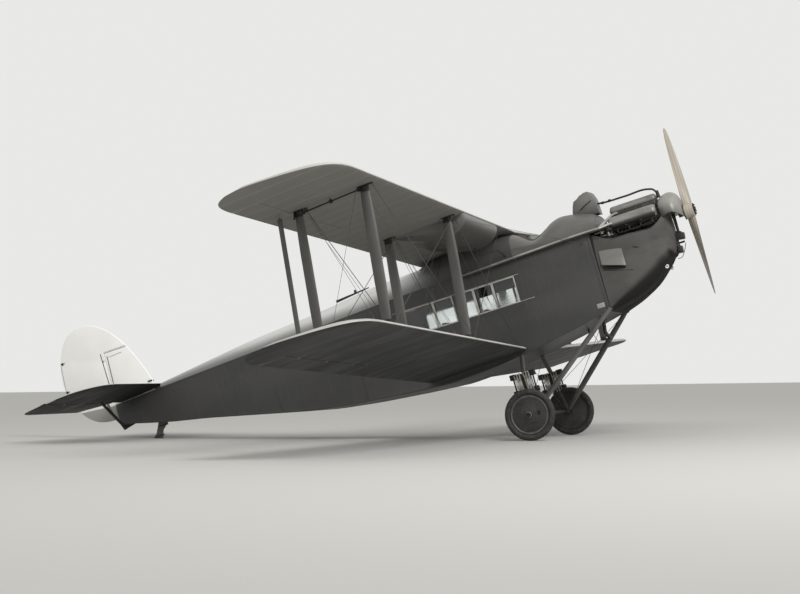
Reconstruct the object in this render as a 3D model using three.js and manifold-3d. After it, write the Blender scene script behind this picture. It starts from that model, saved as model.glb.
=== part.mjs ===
// A single-engined passenger biplane of the early 1920s, parked on two wheels and its tail skid.
// Millimetres. The aeroplane is laid out level in its own frame: the origin is on the propeller
// shaft's line at the nose, +X forward, +Y to port, +Z up. The last lines tip that frame to the
// parked attitude and stand the wheels and the skid on z = 0.
import * as THREE from "three";
import { mergeVertices } from "three/addons/utils/BufferGeometryUtils.js";
import Module from "manifold-3d";

const wasm = await Module();
wasm.setup();

// Driving dimensions
const PARKED_PITCH = THREE.MathUtils.degToRad(15.42);
const GAP = 0.3; // between pieces that touch
const RUN = 8; // between a hinged surface and what it hinges on
const SHAFT_Z = -50; // the propeller shaft's height in the aeroplane's frame
const PROPELLER_RADIUS = 1400;
const HALF_SPAN = 7817;
const CHORD = 1715;
const FRONT_SPAR = 233; // behind the leading edge
const SPAR_SPACING = 994;
const INCIDENCE = THREE.MathUtils.degToRad(2.96);
const DIHEDRAL = THREE.MathUtils.degToRad(2.47);
const LOWER_SPAR = { x: -3223, z: -1496 }; // the front spar at the centreline
const WING_GAP = 1994;
const STAGGER = 193; // the upper wing sits this far ahead of the lower one
const INNER_STRUT_Y = 2850;
const OUTER_STRUT_Y = 6140;
const AILERON = { hinge: 1110, inboard: 4400, outboard: 7150, pivotBack: 155 };
const CABIN_HALF_WIDTH = 640;
const WALL = 30;
const WHEEL = { x: -3057, y: 1283, z: -2530, radius: 410, tyre: 53, rim: 303, sides: 32 };
const AXLE = { radius: 28, end: 1378 };
const SKID_X = -10160;
const RUDDER_HINGE_X = -10855;
const TAILPLANE = { x: -9830, z: -66, slope: 0.08, chord: 1470, hinge: 920, thick: 70 };
const DOOR = { front: -5050, aft: -5700, bottom: -1380, top: -130, hinge: 14 };

// The fuselage's half-width, top longeron and bottom along its length
const PLAN = [
  { x: -1500, half: 580 },
  { x: -2800, half: CABIN_HALF_WIDTH },
  { x: -5000, half: CABIN_HALF_WIDTH },
  { x: -7500, half: 430 },
  { x: -10820, half: 45 },
];
const TOP_LINE = [
  { x: -1500, z: 30 },
  { x: -4515, z: 0 },
  { x: -9830, z: -150 },
  { x: -10820, z: -185 },
];
const BOTTOM_LINE = [
  { x: -1500, z: -1250 },
  { x: -2200, z: -1400 },
  { x: -2880, z: -1515 },
  { x: -3600, z: -1600 },
  { x: -4400, z: -1640 },
  { x: -5200, z: -1580 },
  { x: -6060, z: -1500 },
  { x: -6820, z: -1400 },
  { x: -7500, z: -1260 },
  { x: -9240, z: -880 },
  { x: -9868, z: -768 },
  { x: -10260, z: -677 },
  { x: -10549, z: -606 },
  { x: -10820, z: -570 },
];
const SEAM_X = -7500; // the plywood cabin shell ends here
const BULKHEAD = { engine: -1520, cabin: -5880, thick: 20 };
const WINDOWS = [
  { aft: -4900, front: -4335 },
  { aft: -4305, front: -3985 },
  { aft: -3890, front: -3610 },
  { aft: -3580, front: -3275 },
  { aft: -3245, front: -2880 },
];
const WINDOW_HEIGHT = { bottom: -690, top: -280 };

// The wing's section: distance behind the leading edge, upper and lower surface, in parts of a chord
const SECTION = [
  { back: 0, top: 0, under: 0 },
  { back: 0.02, top: 0.024, under: -0.012 },
  { back: 0.08, top: 0.044, under: -0.017 },
  { back: 0.2, top: 0.054, under: -0.014 },
  { back: 0.4, top: 0.053, under: -0.008 },
  { back: 0.65, top: 0.037, under: -0.004 },
  { back: 0.85, top: 0.018, under: -0.002 },
  { back: 1, top: 0.003, under: -0.001 },
];
// The raked wing tip: how far the edges have drawn in at each place along the span
const TIP = [
  { out: 6900, lead: 0, trail: 0, depth: 1 },
  { out: 7150, lead: 15, trail: 0, depth: 0.98 },
  { out: 7350, lead: 65, trail: 0, depth: 0.92 },
  { out: 7500, lead: 155, trail: 10, depth: 0.8 },
  { out: 7610, lead: 290, trail: 35, depth: 0.66 },
  { out: 7700, lead: 530, trail: 90, depth: 0.48 },
  { out: 7765, lead: 790, trail: 180, depth: 0.34 },
  { out: 7800, lead: 980, trail: 270, depth: 0.24 },
  { out: HALF_SPAN, lead: 1130, trail: 400, depth: 0.16 },
];
const TIP_RISE = 75; // the tip bow lies above the chord line, so the underside sweeps up to it
const TAIL_SECTION = [
  { back: 0, top: 0 },
  { back: 0.04, top: 0.3 },
  { back: 0.15, top: 0.46 },
  { back: 0.35, top: 0.5 },
  { back: 0.62, top: 0.42 },
  { back: 1, top: 0.06 },
];
const TAIL_TIP = [
  { out: 1650, lead: 0, trail: 0, depth: 1 },
  { out: 2000, lead: 70, trail: 0, depth: 0.95 },
  { out: 2200, lead: 180, trail: 0, depth: 0.85 },
  { out: 2330, lead: 310, trail: 35, depth: 0.7 },
  { out: 2430, lead: 480, trail: 140, depth: 0.5 },
  { out: 2480, lead: 700, trail: 400, depth: 0.3 },
];

const FINISHES = {
  dark_dope: { color: 0x474747, roughness: 0.55, metalness: 0 },
  cowl: { color: 0x606060, roughness: 0.45, metalness: 0.2 },
  silver_dope: { color: 0xc9c9c7, roughness: 0.5, metalness: 0.1 },
  white_dope: { color: 0xe8e7e2, roughness: 0.6, metalness: 0 },
  wing_dope: { color: 0x8c8c8a, roughness: 0.6, metalness: 0 },
  strut_paint: { color: 0x5f5f5e, roughness: 0.5, metalness: 0 },
  steel: { color: 0x8f9091, roughness: 0.35, metalness: 0.9 },
  dark_steel: { color: 0x303133, roughness: 0.5, metalness: 0.7 },
  engine_metal: { color: 0x77787a, roughness: 0.4, metalness: 0.8 },
  wood: { color: 0x8a5a33, roughness: 0.4, metalness: 0 },
  rubber: { color: 0x4b4b49, roughness: 0.9, metalness: 0 },
  glass: { color: 0xbfd0d2, roughness: 0.05, metalness: 0, opacity: 0.3, transparent: true },
  wicker: { color: 0x9b8360, roughness: 0.8, metalness: 0 },
};

const aeroplane = new THREE.Group();

// A closed three.js geometry as a solid that can be joined and cut
function solid(geometry) {
  const bare = geometry.index ? geometry.toNonIndexed() : geometry.clone();
  bare.deleteAttribute("normal");
  bare.deleteAttribute("uv");
  const merged = mergeVertices(bare, 1e-3);
  return new wasm.Manifold(
    new wasm.Mesh({
      numProp: 3,
      vertProperties: new Float32Array(merged.attributes.position.array),
      triVerts: new Uint32Array(merged.index.array),
    }),
  );
}

function geometryOf(body) {
  const mesh = body.getMesh();
  const geometry = new THREE.BufferGeometry();
  geometry.setAttribute("position", new THREE.BufferAttribute(mesh.vertProperties.slice(), 3));
  geometry.setIndex(new THREE.BufferAttribute(mesh.triVerts.slice(), 1));
  return geometry;
}

// The same solid carried by a matrix; a mirroring matrix gets its faces turned back outwards
function moved(body, matrix) {
  const geometry = geometryOf(body).applyMatrix4(matrix);
  if (matrix.determinant() < 0) geometry.setIndex([...geometry.index.array].reverse());
  return solid(geometry);
}

const mirrored = (body) => moved(body, new THREE.Matrix4().makeScale(1, -1, 1));
const sideOf = (body, side) => (side < 0 ? mirrored(body) : body);
const joined = (bodies) => bodies.reduce((all, body) => all.add(body));

// What is left of a piece once its neighbours, each swollen by the gap, are cut out of it
function clearOf(body, ...neighbours) {
  const swell = neighbours.flatMap((neighbour) =>
    [1, -1].flatMap((x) =>
      [1, -1].flatMap((y) =>
        [1, -1].map((z) => neighbour.translate([x * GAP, y * GAP, z * GAP])),
      ),
    ),
  );
  return swell.reduce((left, copy) => left.subtract(copy), body);
}

function addPiece(name, body, finish) {
  const material = new THREE.MeshStandardMaterial(FINISHES[finish]);
  const geometry = geometryOf(body).toNonIndexed();
  geometry.computeVertexNormals();
  const mesh = new THREE.Mesh(geometry, material);
  mesh.name = name;
  aeroplane.add(mesh);
}

// Prisms of an outline, along each axis of the frame
const outline = (points) => new THREE.Shape(points.map(([a, b]) => new THREE.Vector2(a, b)));

function prismZ(points, low, high) {
  const settings = { depth: high - low, bevelEnabled: false };
  return solid(new THREE.ExtrudeGeometry(outline(points), settings).translate(0, 0, low));
}

function prismY(shape, low, high) {
  const drawn = Array.isArray(shape) ? outline(shape) : shape;
  const settings = { depth: high - low, bevelEnabled: false, curveSegments: 6 };
  const geometry = new THREE.ExtrudeGeometry(drawn, settings);
  return solid(geometry.rotateX(Math.PI / 2).translate(0, high, 0));
}

function block(x0, x1, y0, y1, z0, z1) {
  const geometry = new THREE.BoxGeometry(x1 - x0, y1 - y0, z1 - z0);
  return solid(geometry.translate((x0 + x1) / 2, (y0 + y1) / 2, (z0 + z1) / 2));
}

// A round bar between two points
function rod(from, to, radius, sides = 10) {
  const start = new THREE.Vector3(...from);
  const way = new THREE.Vector3(...to).sub(start);
  const geometry = new THREE.CylinderGeometry(radius, radius, way.length(), sides);
  const turn = new THREE.Quaternion().setFromUnitVectors(
    new THREE.Vector3(0, 1, 0),
    way.clone().normalize(),
  );
  geometry.applyQuaternion(turn).translate(...start.addScaledVector(way, 0.5).toArray());
  return solid(geometry);
}

// A skin through rings of points, closed by a flat cap at each end
function loft(rings, flatten) {
  const size = rings[0].length;
  const positions = rings.flat().flatMap((p) => [p.x, p.y, p.z]);
  const faces = [];
  for (let r = 0; r + 1 < rings.length; r++)
    for (let i = 0; i < size; i++) {
      const next = (i + 1) % size;
      const a = r * size + i;
      const b = r * size + next;
      faces.push(a, b, b + size, a, b + size, a + size);
    }
  const capFaces = THREE.ShapeUtils.triangulateShape(rings[0].map(flatten), []);
  const clockwise = THREE.ShapeUtils.area(rings[0].map(flatten)) < 0;
  const last = (rings.length - 1) * size;
  for (const [a, b, c] of capFaces) {
    const [first, second] = clockwise ? [c, b] : [b, c];
    faces.push(a, second, first, last + a, last + first, last + second);
  }
  const geometry = new THREE.BufferGeometry();
  geometry.setAttribute("position", new THREE.Float32BufferAttribute(positions, 3));
  geometry.setIndex(faces);
  const body = solid(geometry);
  if (body.volume() > 0) return body;
  geometry.setIndex(faces.reverse());
  return solid(geometry);
}

const flatX = (p) => new THREE.Vector2(p.y, p.z);
const flatY = (p) => new THREE.Vector2(p.x, p.z);
const flatZ = (p) => new THREE.Vector2(p.x, p.y);

// A value read off one of the tables above
function along(table, x, column) {
  const after = table.findIndex((row) => row.x <= x);
  if (after <= 0) return table[after < 0 ? table.length - 1 : 0][column];
  const [a, b] = [table[after - 1], table[after]];
  return a[column] + ((b[column] - a[column]) * (x - a.x)) / (b.x - a.x);
}

// A streamlined strut: its section is blunt in front and drawn out behind
const STREAMLINE = [
  [0.5, 0.08],
  [0.4, 0.34],
  [0.2, 0.5],
  [-0.1, 0.46],
  [-0.35, 0.22],
  [-0.5, 0.05],
];

function strut(from, to, chord, thick) {
  const start = new THREE.Vector3(...from);
  const end = new THREE.Vector3(...to);
  const way = end.clone().sub(start).normalize();
  const side = new THREE.Vector3().crossVectors(way, new THREE.Vector3(1, 0, 0)).normalize();
  const ahead = new THREE.Vector3().crossVectors(side, way);
  const half = STREAMLINE.map(([a, b]) => [a * chord, b * thick]);
  const ring = [...half, ...half.map(([a, b]) => [a, -b]).reverse()];
  const at = (centre) =>
    ring.map(([a, b]) => centre.clone().addScaledVector(ahead, a).addScaledVector(side, b));
  return loft([at(start), at(end)], flatZ);
}

// Fuselage shell
// Each wall is the strip between the outer and inner plan lines, cut to the side outline.
const wallPlan = PLAN.filter((row) => row.x >= SEAM_X);
const planStrip = prismZ(
  [
    ...wallPlan.map((row) => [row.x, row.half]),
    ...wallPlan.map((row) => [row.x, row.half - WALL]).reverse(),
  ],
  -2000,
  500,
);
const sideOutline = (first, last) => {
  const inside = (row) => row.x < first && row.x > last;
  const bottomEnd = along(BOTTOM_LINE, last, "z");
  return [
    [first, along(TOP_LINE, first, "z")],
    ...TOP_LINE.filter(inside).map((row) => [row.x, row.z]),
    [last, along(TOP_LINE, last, "z")],
    [last, bottomEnd],
    ...BOTTOM_LINE.filter(inside)
      .map((row) => [row.x, row.z])
      .reverse(),
    [first, along(BOTTOM_LINE, first, "z")],
  ];
};
const shellSide = prismY(sideOutline(PLAN[0].x, SEAM_X), 0, 1000);
const paneCuts = joined(
  WINDOWS.map((pane) =>
    block(pane.aft, pane.front, 500, 800, WINDOW_HEIGHT.bottom, WINDOW_HEIGHT.top),
  ),
);
const wall = planStrip.intersect(shellSide).subtract(paneCuts);
const doorGap = 6;
const doorCut = block(
  DOOR.aft - doorGap,
  DOOR.front + doorGap,
  300,
  900,
  DOOR.bottom - doorGap,
  DOOR.top + doorGap,
);
// The door's hinge line stands just outside the wall, on two pairs of knuckles.
const hingeY = along(PLAN, DOOR.front, "half") + DOOR.hinge;
const knuckle = (low, high) =>
  rod([DOOR.front + doorGap / 2, hingeY, low], [DOOR.front + doorGap / 2, hingeY, high], 11, 12);
const leaf = (x0, x1, low, high) =>
  block(x0, x1, hingeY - DOOR.hinge - 16, hingeY - 2, low, high);
const hingeHeights = [-1150, -350];
const wallKnuckles = hingeHeights.flatMap((z) => [
  knuckle(z - 60, z - 20),
  leaf(DOOR.front + doorGap / 2, DOOR.front + doorGap + 25, z - 60, z - 20),
]);
const doorKnuckles = hingeHeights.flatMap((z) => [
  knuckle(z - 20 + GAP, z + 40),
  leaf(DOOR.front - 25, DOOR.front + doorGap / 2, z - 20 + GAP, z + 40),
]);
const doorRegion = block(DOOR.aft, DOOR.front, 300, 900, DOOR.bottom, DOOR.top);
addPiece("fuselage_side_starboard", mirrored(wall), "dark_dope");
addPiece("fuselage_side_port", joined([wall.subtract(doorCut), ...wallKnuckles]), "dark_dope");
addPiece(
  "cabin_door",
  joined([planStrip.intersect(doorRegion), ...doorKnuckles]),
  "dark_dope",
);

// The inside of the shell, clear of the walls, bounds the floor and the bulkheads.
const insidePlan = prismZ(
  [
    ...wallPlan.map((row) => [row.x, row.half - WALL - GAP]),
    ...wallPlan.map((row) => [row.x, -(row.half - WALL - GAP)]).reverse(),
  ],
  -2000,
  500,
);
const bottomStrip = BOTTOM_LINE.filter((row) => row.x >= SEAM_X);
const floorSlab = (lift) =>
  prismY(
    [
      ...bottomStrip.map((row) => [row.x, row.z]),
      ...bottomStrip.map((row) => [row.x, row.z + WALL + lift]).reverse(),
    ],
    -800,
    800,
  );
addPiece("fuselage_floor", floorSlab(0).intersect(insidePlan), "dark_dope");

const aboveFloor = floorSlab(GAP);
const underDeck = prismY(
  [
    [-1000, 30 - GAP],
    ...TOP_LINE.map((row) => [row.x, row.z - GAP]),
    [-11000, -2000],
    [-1000, -2000],
  ],
  -800,
  800,
);
const crossWall = (x) =>
  block(x, x + BULKHEAD.thick, -800, 800, -1700, 100)
    .intersect(insidePlan)
    .intersect(underDeck)
    .subtract(aboveFloor);
const keepAbove = (x) => block(x - 10, x + 40, -800, 800, along(BOTTOM_LINE, x, "z") + 5, 200);
for (const [name, x, finish] of [
  ["engine_bulkhead", BULKHEAD.engine, "dark_dope"],
  ["cabin_bulkhead", BULKHEAD.cabin, "wood"],
]) {
  addPiece(name, crossWall(x).intersect(keepAbove(x)), finish);
}

// Cockpit floor: a deck across the front bay with the wall between cockpit and cabin standing on it
const COCKPIT = { floor: -800, aft: -2840, seatFront: -2380, seatTop: -370 };
const cockpitFloor = joined([
  block(COCKPIT.aft, BULKHEAD.engine - GAP, -800, 800, COCKPIT.floor, COCKPIT.floor + 25),
  block(COCKPIT.aft, COCKPIT.aft + 20, -800, 800, COCKPIT.floor, 25),
]);
addPiece("cockpit_floor", cockpitFloor.intersect(insidePlan).intersect(underDeck), "wood");
const seatBack = prismY(
  [
    [COCKPIT.aft + 60, COCKPIT.seatTop],
    [COCKPIT.aft + 100, COCKPIT.seatTop],
    [COCKPIT.aft + 70, -5],
    [COCKPIT.aft + 30, -5],
  ],
  -400,
  400,
);
const pilotBench = joined([
  block(COCKPIT.aft + 60, COCKPIT.seatFront, -400, 400, COCKPIT.seatTop - 80, COCKPIT.seatTop),
  block(
    COCKPIT.aft + 110,
    COCKPIT.seatFront - 40,
    -370,
    370,
    COCKPIT.floor + 25 + GAP,
    COCKPIT.seatTop - 70,
  ),
  seatBack,
]);
addPiece("cockpit_seat", pilotBench, "wicker");

// Cabin seats: three pairs on two floor rails
const seatRows = [-3300, -4050, -4800];
const cabinSeat = (x, y) =>
  joined([
    block(x - 210, x + 210, y - 205, y + 205, -1180, -1090),
    block(x - 240, x - 180, y - 205, y + 205, -1180, -640),
    block(x - 60, x + 60, y - 60, y + 60, -1700, -1170),
  ]);
const railY = 330;
const seatSide = (side) =>
  joined([
    block(-5000, -3100, side * railY - 30, side * railY + 30, -1700, -1530),
    ...seatRows.map((x) => cabinSeat(x, side * railY)),
  ]);
const underFloor = prismY(
  [
    ...bottomStrip.map((row) => [row.x, row.z + WALL + GAP]),
    [SEAM_X, -2500],
    [-1500, -2500],
  ],
  -800,
  800,
);
const seatTie = block(-4110, -3990, -railY, railY, -1700, -1540);
addPiece(
  "cabin_seats",
  joined([seatSide(1), seatSide(-1), seatTie]).subtract(underFloor),
  "wicker",
);

// Window glass: one sheet behind the panes on each side
const glassSheet = block(
  WINDOWS[0].aft - 25,
  WINDOWS.at(-1).front + 25,
  CABIN_HALF_WIDTH - WALL - GAP - 5,
  CABIN_HALF_WIDTH - WALL - GAP,
  WINDOW_HEIGHT.bottom - 25,
  WINDOW_HEIGHT.top + 25,
);
addPiece("window_glass_port", glassSheet, "glass");
addPiece("window_glass_starboard", mirrored(glassSheet), "glass");

// Rear fuselage: decked over and closed, so it is solid
const rearPlan = PLAN.filter((row) => row.x <= SEAM_X);
const rearFuselage = prismZ(
  [
    ...rearPlan.map((row) => [row.x, row.half]),
    ...rearPlan.map((row) => [row.x, -row.half]).reverse(),
  ],
  -2000,
  500,
).intersect(prismY(sideOutline(SEAM_X - GAP, -10820), -800, 800));

// Arched decking over the top longerons
// rise is the crown's height over the longeron, round is the arch's squareness
const ARCH_STEPS = 12;

function archRing(x, rise, round) {
  const half = along(PLAN, x, "half");
  const base = along(TOP_LINE, x, "z") + GAP;
  const ring = [];
  for (let i = 0; i <= ARCH_STEPS; i++) {
    const angle = (Math.PI * i) / ARCH_STEPS;
    const c = Math.cos(angle);
    const s = Math.sin(angle);
    const y = half * Math.sign(c) * Math.abs(c) ** (2 / round);
    ring.push(new THREE.Vector3(x, y, base + rise * Math.abs(s) ** (2 / round)));
  }
  return ring;
}

const arch = (stations, round) =>
  loft(
    stations.map((s) => archRing(s.x, s.rise, s.round ?? round)),
    flatX,
  );

const TURTLEDECK = [
  { x: -4520, rise: 395, round: 2.4 },
  { x: -5570, rise: 385 },
  { x: -6140, rise: 335 },
  { x: -7990, rise: 245 },
  { x: -9800, rise: 95 },
];
const COAMING = [
  { x: -2790, rise: 430, round: 3 },
  { x: -2620, rise: 330, round: 2.6 },
  { x: -2450, rise: 240 },
  { x: -2300, rise: 300 },
  { x: -2150, rise: 415 },
  { x: -1960, rise: 472 },
  { x: -1850, rise: 463 },
  { x: -1700, rise: 434 },
  { x: -1560, rise: 390 },
  { x: -1500, rise: 368 },
  { x: -1385, rise: 322 },
  { x: -1356, rise: 310 },
];
const cockpitOpening = new THREE.Shape()
  .absellipse(-2470, 0, 270, 340, 0, Math.PI * 2)
  .getPoints(5)
  .map((p) => [p.x, p.y]);
const coamingSolid = arch(COAMING, 2.1);
const coamingInside = COAMING.slice(0, -1).map((row, i) => ({
  ...row,
  x: i === 0 ? row.x + 25 : row.x,
  rise: row.rise - 28,
}));
const narrowed = new THREE.Matrix4().makeScale(1, 0.94, 1).setPosition(0, 0, -5);
addPiece(
  "cockpit_coaming",
  coamingSolid
    .subtract(moved(arch(coamingInside, 2.1), narrowed))
    .subtract(prismZ(cockpitOpening, 0, 800)),
  "cowl",
);
addPiece("turtledeck", arch(TURTLEDECK, 2), "silver_dope");

// Wings
// Each panel is drawn flat: x forward from the front spar, y outward, z up from the chord line.
function panelRing(out, lead, trail, depth, grow) {
  const front = FRONT_SPAR - lead + grow;
  const back = FRONT_SPAR - CHORD + trail - grow;
  const at = (part, height, sign) =>
    new THREE.Vector3(
      front + (back - front) * part,
      out,
      height * CHORD * depth + TIP_RISE * (1 - depth) + sign * grow,
    );
  return [
    ...SECTION.map((row) => at(row.back, row.top, 1)),
    ...SECTION.slice(1)
      .reverse()
      .map((row) => at(row.back, row.under, -1)),
  ];
}

function wingPanel(grow = 0) {
  const root = { out: -60, lead: 0, trail: 0, depth: 1 };
  const rings = [root, ...TIP].map((s) => panelRing(s.out, s.lead, s.trail, s.depth, grow));
  return loft(rings, flatY);
}

// Places a flat panel on the port side: nose up by the incidence, then raised by the dihedral
function wingMatrix(spar) {
  const place = new THREE.Matrix4().makeTranslation(spar.x, 0, spar.z);
  place.multiply(new THREE.Matrix4().makeRotationX(DIHEDRAL));
  return place.multiply(new THREE.Matrix4().makeRotationY(-INCIDENCE));
}

const UPPER_SPAR = { x: LOWER_SPAR.x + STAGGER, z: LOWER_SPAR.z + WING_GAP };
const WINGS = [
  { name: "upper", spar: UPPER_SPAR, root: GAP / 2 },
  { name: "lower", spar: LOWER_SPAR, root: CABIN_HALF_WIDTH + GAP },
];

// The section's middle height and half-depth at the aileron's hinge line
const hingePart = (AILERON.hinge + FRONT_SPAR) / CHORD;
const sectionAt = (column) => {
  const i = SECTION.findIndex((row) => row.back >= hingePart);
  const [a, b] = [SECTION[i - 1], SECTION[i]];
  return CHORD * (a[column] + ((b[column] - a[column]) * (hingePart - a.back)) / (b.back - a.back));
};
const hingeZ = (sectionAt("top") + sectionAt("under")) / 2;
const noseRadius = (sectionAt("top") - sectionAt("under")) / 2;

const HINGE_LUG = { width: 26, radius: 13, behind: 26 };
const lugStations = (first, last, count) =>
  Array.from({ length: count }, (_, i) => first + ((last - first) * (i + 0.5)) / count);

// A lug that reaches from a fixed rear face to the hinge line, and the slot that it works in
const hingeLug = (x, y, z, reach) =>
  joined([
    block(x, x + reach, y - HINGE_LUG.width / 2, y + HINGE_LUG.width / 2, z - 10, z + 10),
    rod(
      [x, y - HINGE_LUG.width / 2, z],
      [x, y + HINGE_LUG.width / 2, z],
      HINGE_LUG.radius,
      12,
    ),
  ]);
const hingeSlot = (x, y, z) =>
  block(
    x - HINGE_LUG.behind,
    x + 100,
    y - HINGE_LUG.width / 2 - GAP,
    y + HINGE_LUG.width / 2 + GAP,
    z - 100,
    z + 100,
  );

const aileronLugs = lugStations(AILERON.inboard, AILERON.outboard, 3);
const fullPanel = wingPanel();
const aileronBay = block(
  -CHORD,
  -AILERON.hinge + noseRadius + RUN,
  AILERON.inboard - RUN,
  AILERON.outboard + RUN,
  -200,
  200,
);
const fixedPanel = joined([
  fullPanel.subtract(aileronBay),
  ...aileronLugs.map((y) => hingeLug(-AILERON.hinge, y, hingeZ, noseRadius + RUN + 6)),
]);
const LINK = { drop: 48, bracket: 12, boss: 16, washer: 3, y: OUTER_STRUT_Y + 40 };

function aileronPanel(sign) {
  const blade = fullPanel.intersect(
    block(-CHORD, -AILERON.hinge, AILERON.inboard, AILERON.outboard, -200, 200),
  );
  const nose = rod(
    [-AILERON.hinge, AILERON.inboard, hingeZ],
    [-AILERON.hinge, AILERON.outboard, hingeZ],
    noseRadius - 0.5,
    16,
  );
  // The link strut's bracket hangs below the upper aileron and stands on the lower one.
  const pivotX = -AILERON.hinge - AILERON.pivotBack;
  const face = sign * (noseRadius - 14);
  const bracket = prismY(
    [
      [pivotX - 40, hingeZ + face * 0.4],
      [pivotX + 40, hingeZ + face * 0.4],
      [pivotX + 15, hingeZ + face + sign * (LINK.drop + 6)],
      [pivotX - 15, hingeZ + face + sign * (LINK.drop + 6)],
    ],
    LINK.y - LINK.bracket,
    LINK.y,
  );
  const pinZ = hingeZ + sign * (noseRadius - 14 + LINK.drop - 8);
  const washer = rod([pivotX, LINK.y - 5, pinZ], [pivotX, LINK.y + LINK.washer - GAP, pinZ], 15, 12);
  const slots = joined(aileronLugs.map((y) => hingeSlot(-AILERON.hinge, y, hingeZ)));
  return joined([blade.add(nose).subtract(slots), bracket, washer]);
}

const grownWings = WINGS.map(({ spar }) => {
  const port = moved(wingPanel(GAP), wingMatrix(spar));
  return { port, starboard: mirrored(port) };
});
for (const { name, spar, root } of WINGS) {
  const place = wingMatrix(spar);
  const port = moved(fixedPanel, place).intersect(block(-9000, 0, root, 9000, -3000, 3000));
  const aileron = moved(aileronPanel(name === "upper" ? -1 : 1), place);
  for (const [word, side] of [
    ["port", 1],
    ["starboard", -1],
  ]) {
    addPiece(`${name}_wing_${word}`, sideOf(port, side), "wing_dope");
    addPiece(`${name}_aileron_${word}`, sideOf(aileron, side), "wing_dope");
  }
}

// A point of a wing panel, carried to the aeroplane's frame
const onWing = (spar, x, y, z) => new THREE.Vector3(x, y, z).applyMatrix4(wingMatrix(spar));

// Interplane struts, cut to lie on the wings' skins
const STRUTS = [
  { name: "inner_front", back: 0, y: INNER_STRUT_Y, chord: 165, thick: 58 },
  { name: "inner_rear", back: SPAR_SPACING, y: INNER_STRUT_Y, chord: 160, thick: 56 },
  { name: "outer_front", back: 0, y: OUTER_STRUT_Y, chord: 162, thick: 54 },
  { name: "outer_rear", back: SPAR_SPACING, y: OUTER_STRUT_Y, chord: 145, thick: 48 },
];
for (const { name, back, y, chord, thick } of STRUTS) {
  const foot = onWing(LOWER_SPAR, -back, y, 30).toArray();
  const head = onWing(UPPER_SPAR, -back, y, 20).toArray();
  const post = strut(foot, head, chord, thick)
    .subtract(grownWings[0].port)
    .subtract(grownWings[1].port);
  addPiece(`strut_${name}_port`, post, "strut_paint");
  addPiece(`strut_${name}_starboard`, mirrored(post), "strut_paint");
}

// Aileron link struts stand beside the brackets of the two ailerons.
const linkX = -AILERON.hinge - AILERON.pivotBack;
const linkY = LINK.y + LINK.washer + 10;
const linkFace = noseRadius - 14 + LINK.drop - 8;
const linkTop = onWing(UPPER_SPAR, linkX, linkY, hingeZ - linkFace);
const linkFoot = onWing(LOWER_SPAR, linkX, linkY, hingeZ + linkFace);
const spanWay = onWing(LOWER_SPAR, 0, 1, 0).sub(onWing(LOWER_SPAR, 0, 0, 0));
const bossAt = (point) =>
  rod(
    point.clone().addScaledVector(spanWay, -10).toArray(),
    point.clone().addScaledVector(spanWay, 10).toArray(),
    LINK.boss,
    12,
  );
const linkStrut = joined([
  strut(linkTop.toArray(), linkFoot.toArray(), 72, 18),
  bossAt(linkTop),
  bossAt(linkFoot),
]);
addPiece("aileron_link_port", linkStrut, "strut_paint");
addPiece("aileron_link_starboard", mirrored(linkStrut), "strut_paint");

// The roof between the longerons and the upper wing
const ROOF = [
  { x: -2790 - GAP, rise: 430, round: 3 },
  { x: -3100, rise: 480, round: 3.4 },
  { x: -4200, rise: 450, round: 3.2 },
  { x: -4520 + GAP, rise: 395, round: 2.4 },
];
addPiece(
  "wing_root_fairing",
  arch(ROOF, 3).subtract(grownWings[0].port).subtract(grownWings[0].starboard),
  "dark_dope",
);

// Fuel tanks: streamlined bodies slung under the upper wing between fuselage and inner struts
const TANK = { inboard: 960, outboard: 2680, depth: 290, nose: FRONT_SPAR - 12, tail: -980 };
const tankShape = new THREE.Shape();
tankShape.moveTo(TANK.nose, 10);
tankShape.quadraticCurveTo(TANK.nose + 5, -170, TANK.nose - 160, -TANK.depth + 30);
tankShape.quadraticCurveTo(TANK.nose - 520, -TANK.depth - 40, TANK.tail + 300, -130);
tankShape.lineTo(TANK.tail, -20);
tankShape.lineTo(TANK.tail, 10);
tankShape.closePath();
const fuelTank = moved(prismY(tankShape, TANK.inboard, TANK.outboard), wingMatrix(UPPER_SPAR))
  .subtract(grownWings[0].port);
addPiece("fuel_tank_port", fuelTank, "dark_dope");
addPiece("fuel_tank_starboard", mirrored(fuelTank), "dark_dope");

// Main stays: lift and landing wires in the planes of the front and rear struts
const WIRE = { radius: 5, offset: 112, fitting: 18 };

function stays(back) {
  const x = -back + WIRE.offset;
  const low = (y) => onWing(LOWER_SPAR, x, y, 0.052 * CHORD);
  const high = (y) => onWing(UPPER_SPAR, x, y, -0.016 * CHORD);
  const plate = (p) =>
    block(p.x - 16, p.x + 16, p.y - 30, p.y + 30, p.z - WIRE.fitting, p.z + WIRE.fitting);
  const cut = (body) => body.subtract(grownWings[0].port).subtract(grownWings[1].port);
  const wire = (a, b) => rod(a.toArray(), b.toArray(), WIRE.radius, 6);
  const rootLow = low(CABIN_HALF_WIDTH + 12);
  const rootHigh = high(CABIN_HALF_WIDTH + 12);
  const lift = 8;
  const up = (p) => p.clone().add(new THREE.Vector3(0, 0, lift));
  const down = (p) => p.clone().add(new THREE.Vector3(0, 0, -lift));
  return cut(
    joined([
      plate(low(INNER_STRUT_Y)),
      plate(high(INNER_STRUT_Y)),
      plate(low(OUTER_STRUT_Y)),
      plate(high(OUTER_STRUT_Y)),
      wire(up(low(INNER_STRUT_Y)), down(high(OUTER_STRUT_Y))),
      wire(down(high(INNER_STRUT_Y)), up(low(OUTER_STRUT_Y))),
      wire(up(rootLow), down(high(INNER_STRUT_Y))),
      wire(down(rootHigh), up(low(INNER_STRUT_Y))),
    ]),
  );
}
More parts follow.
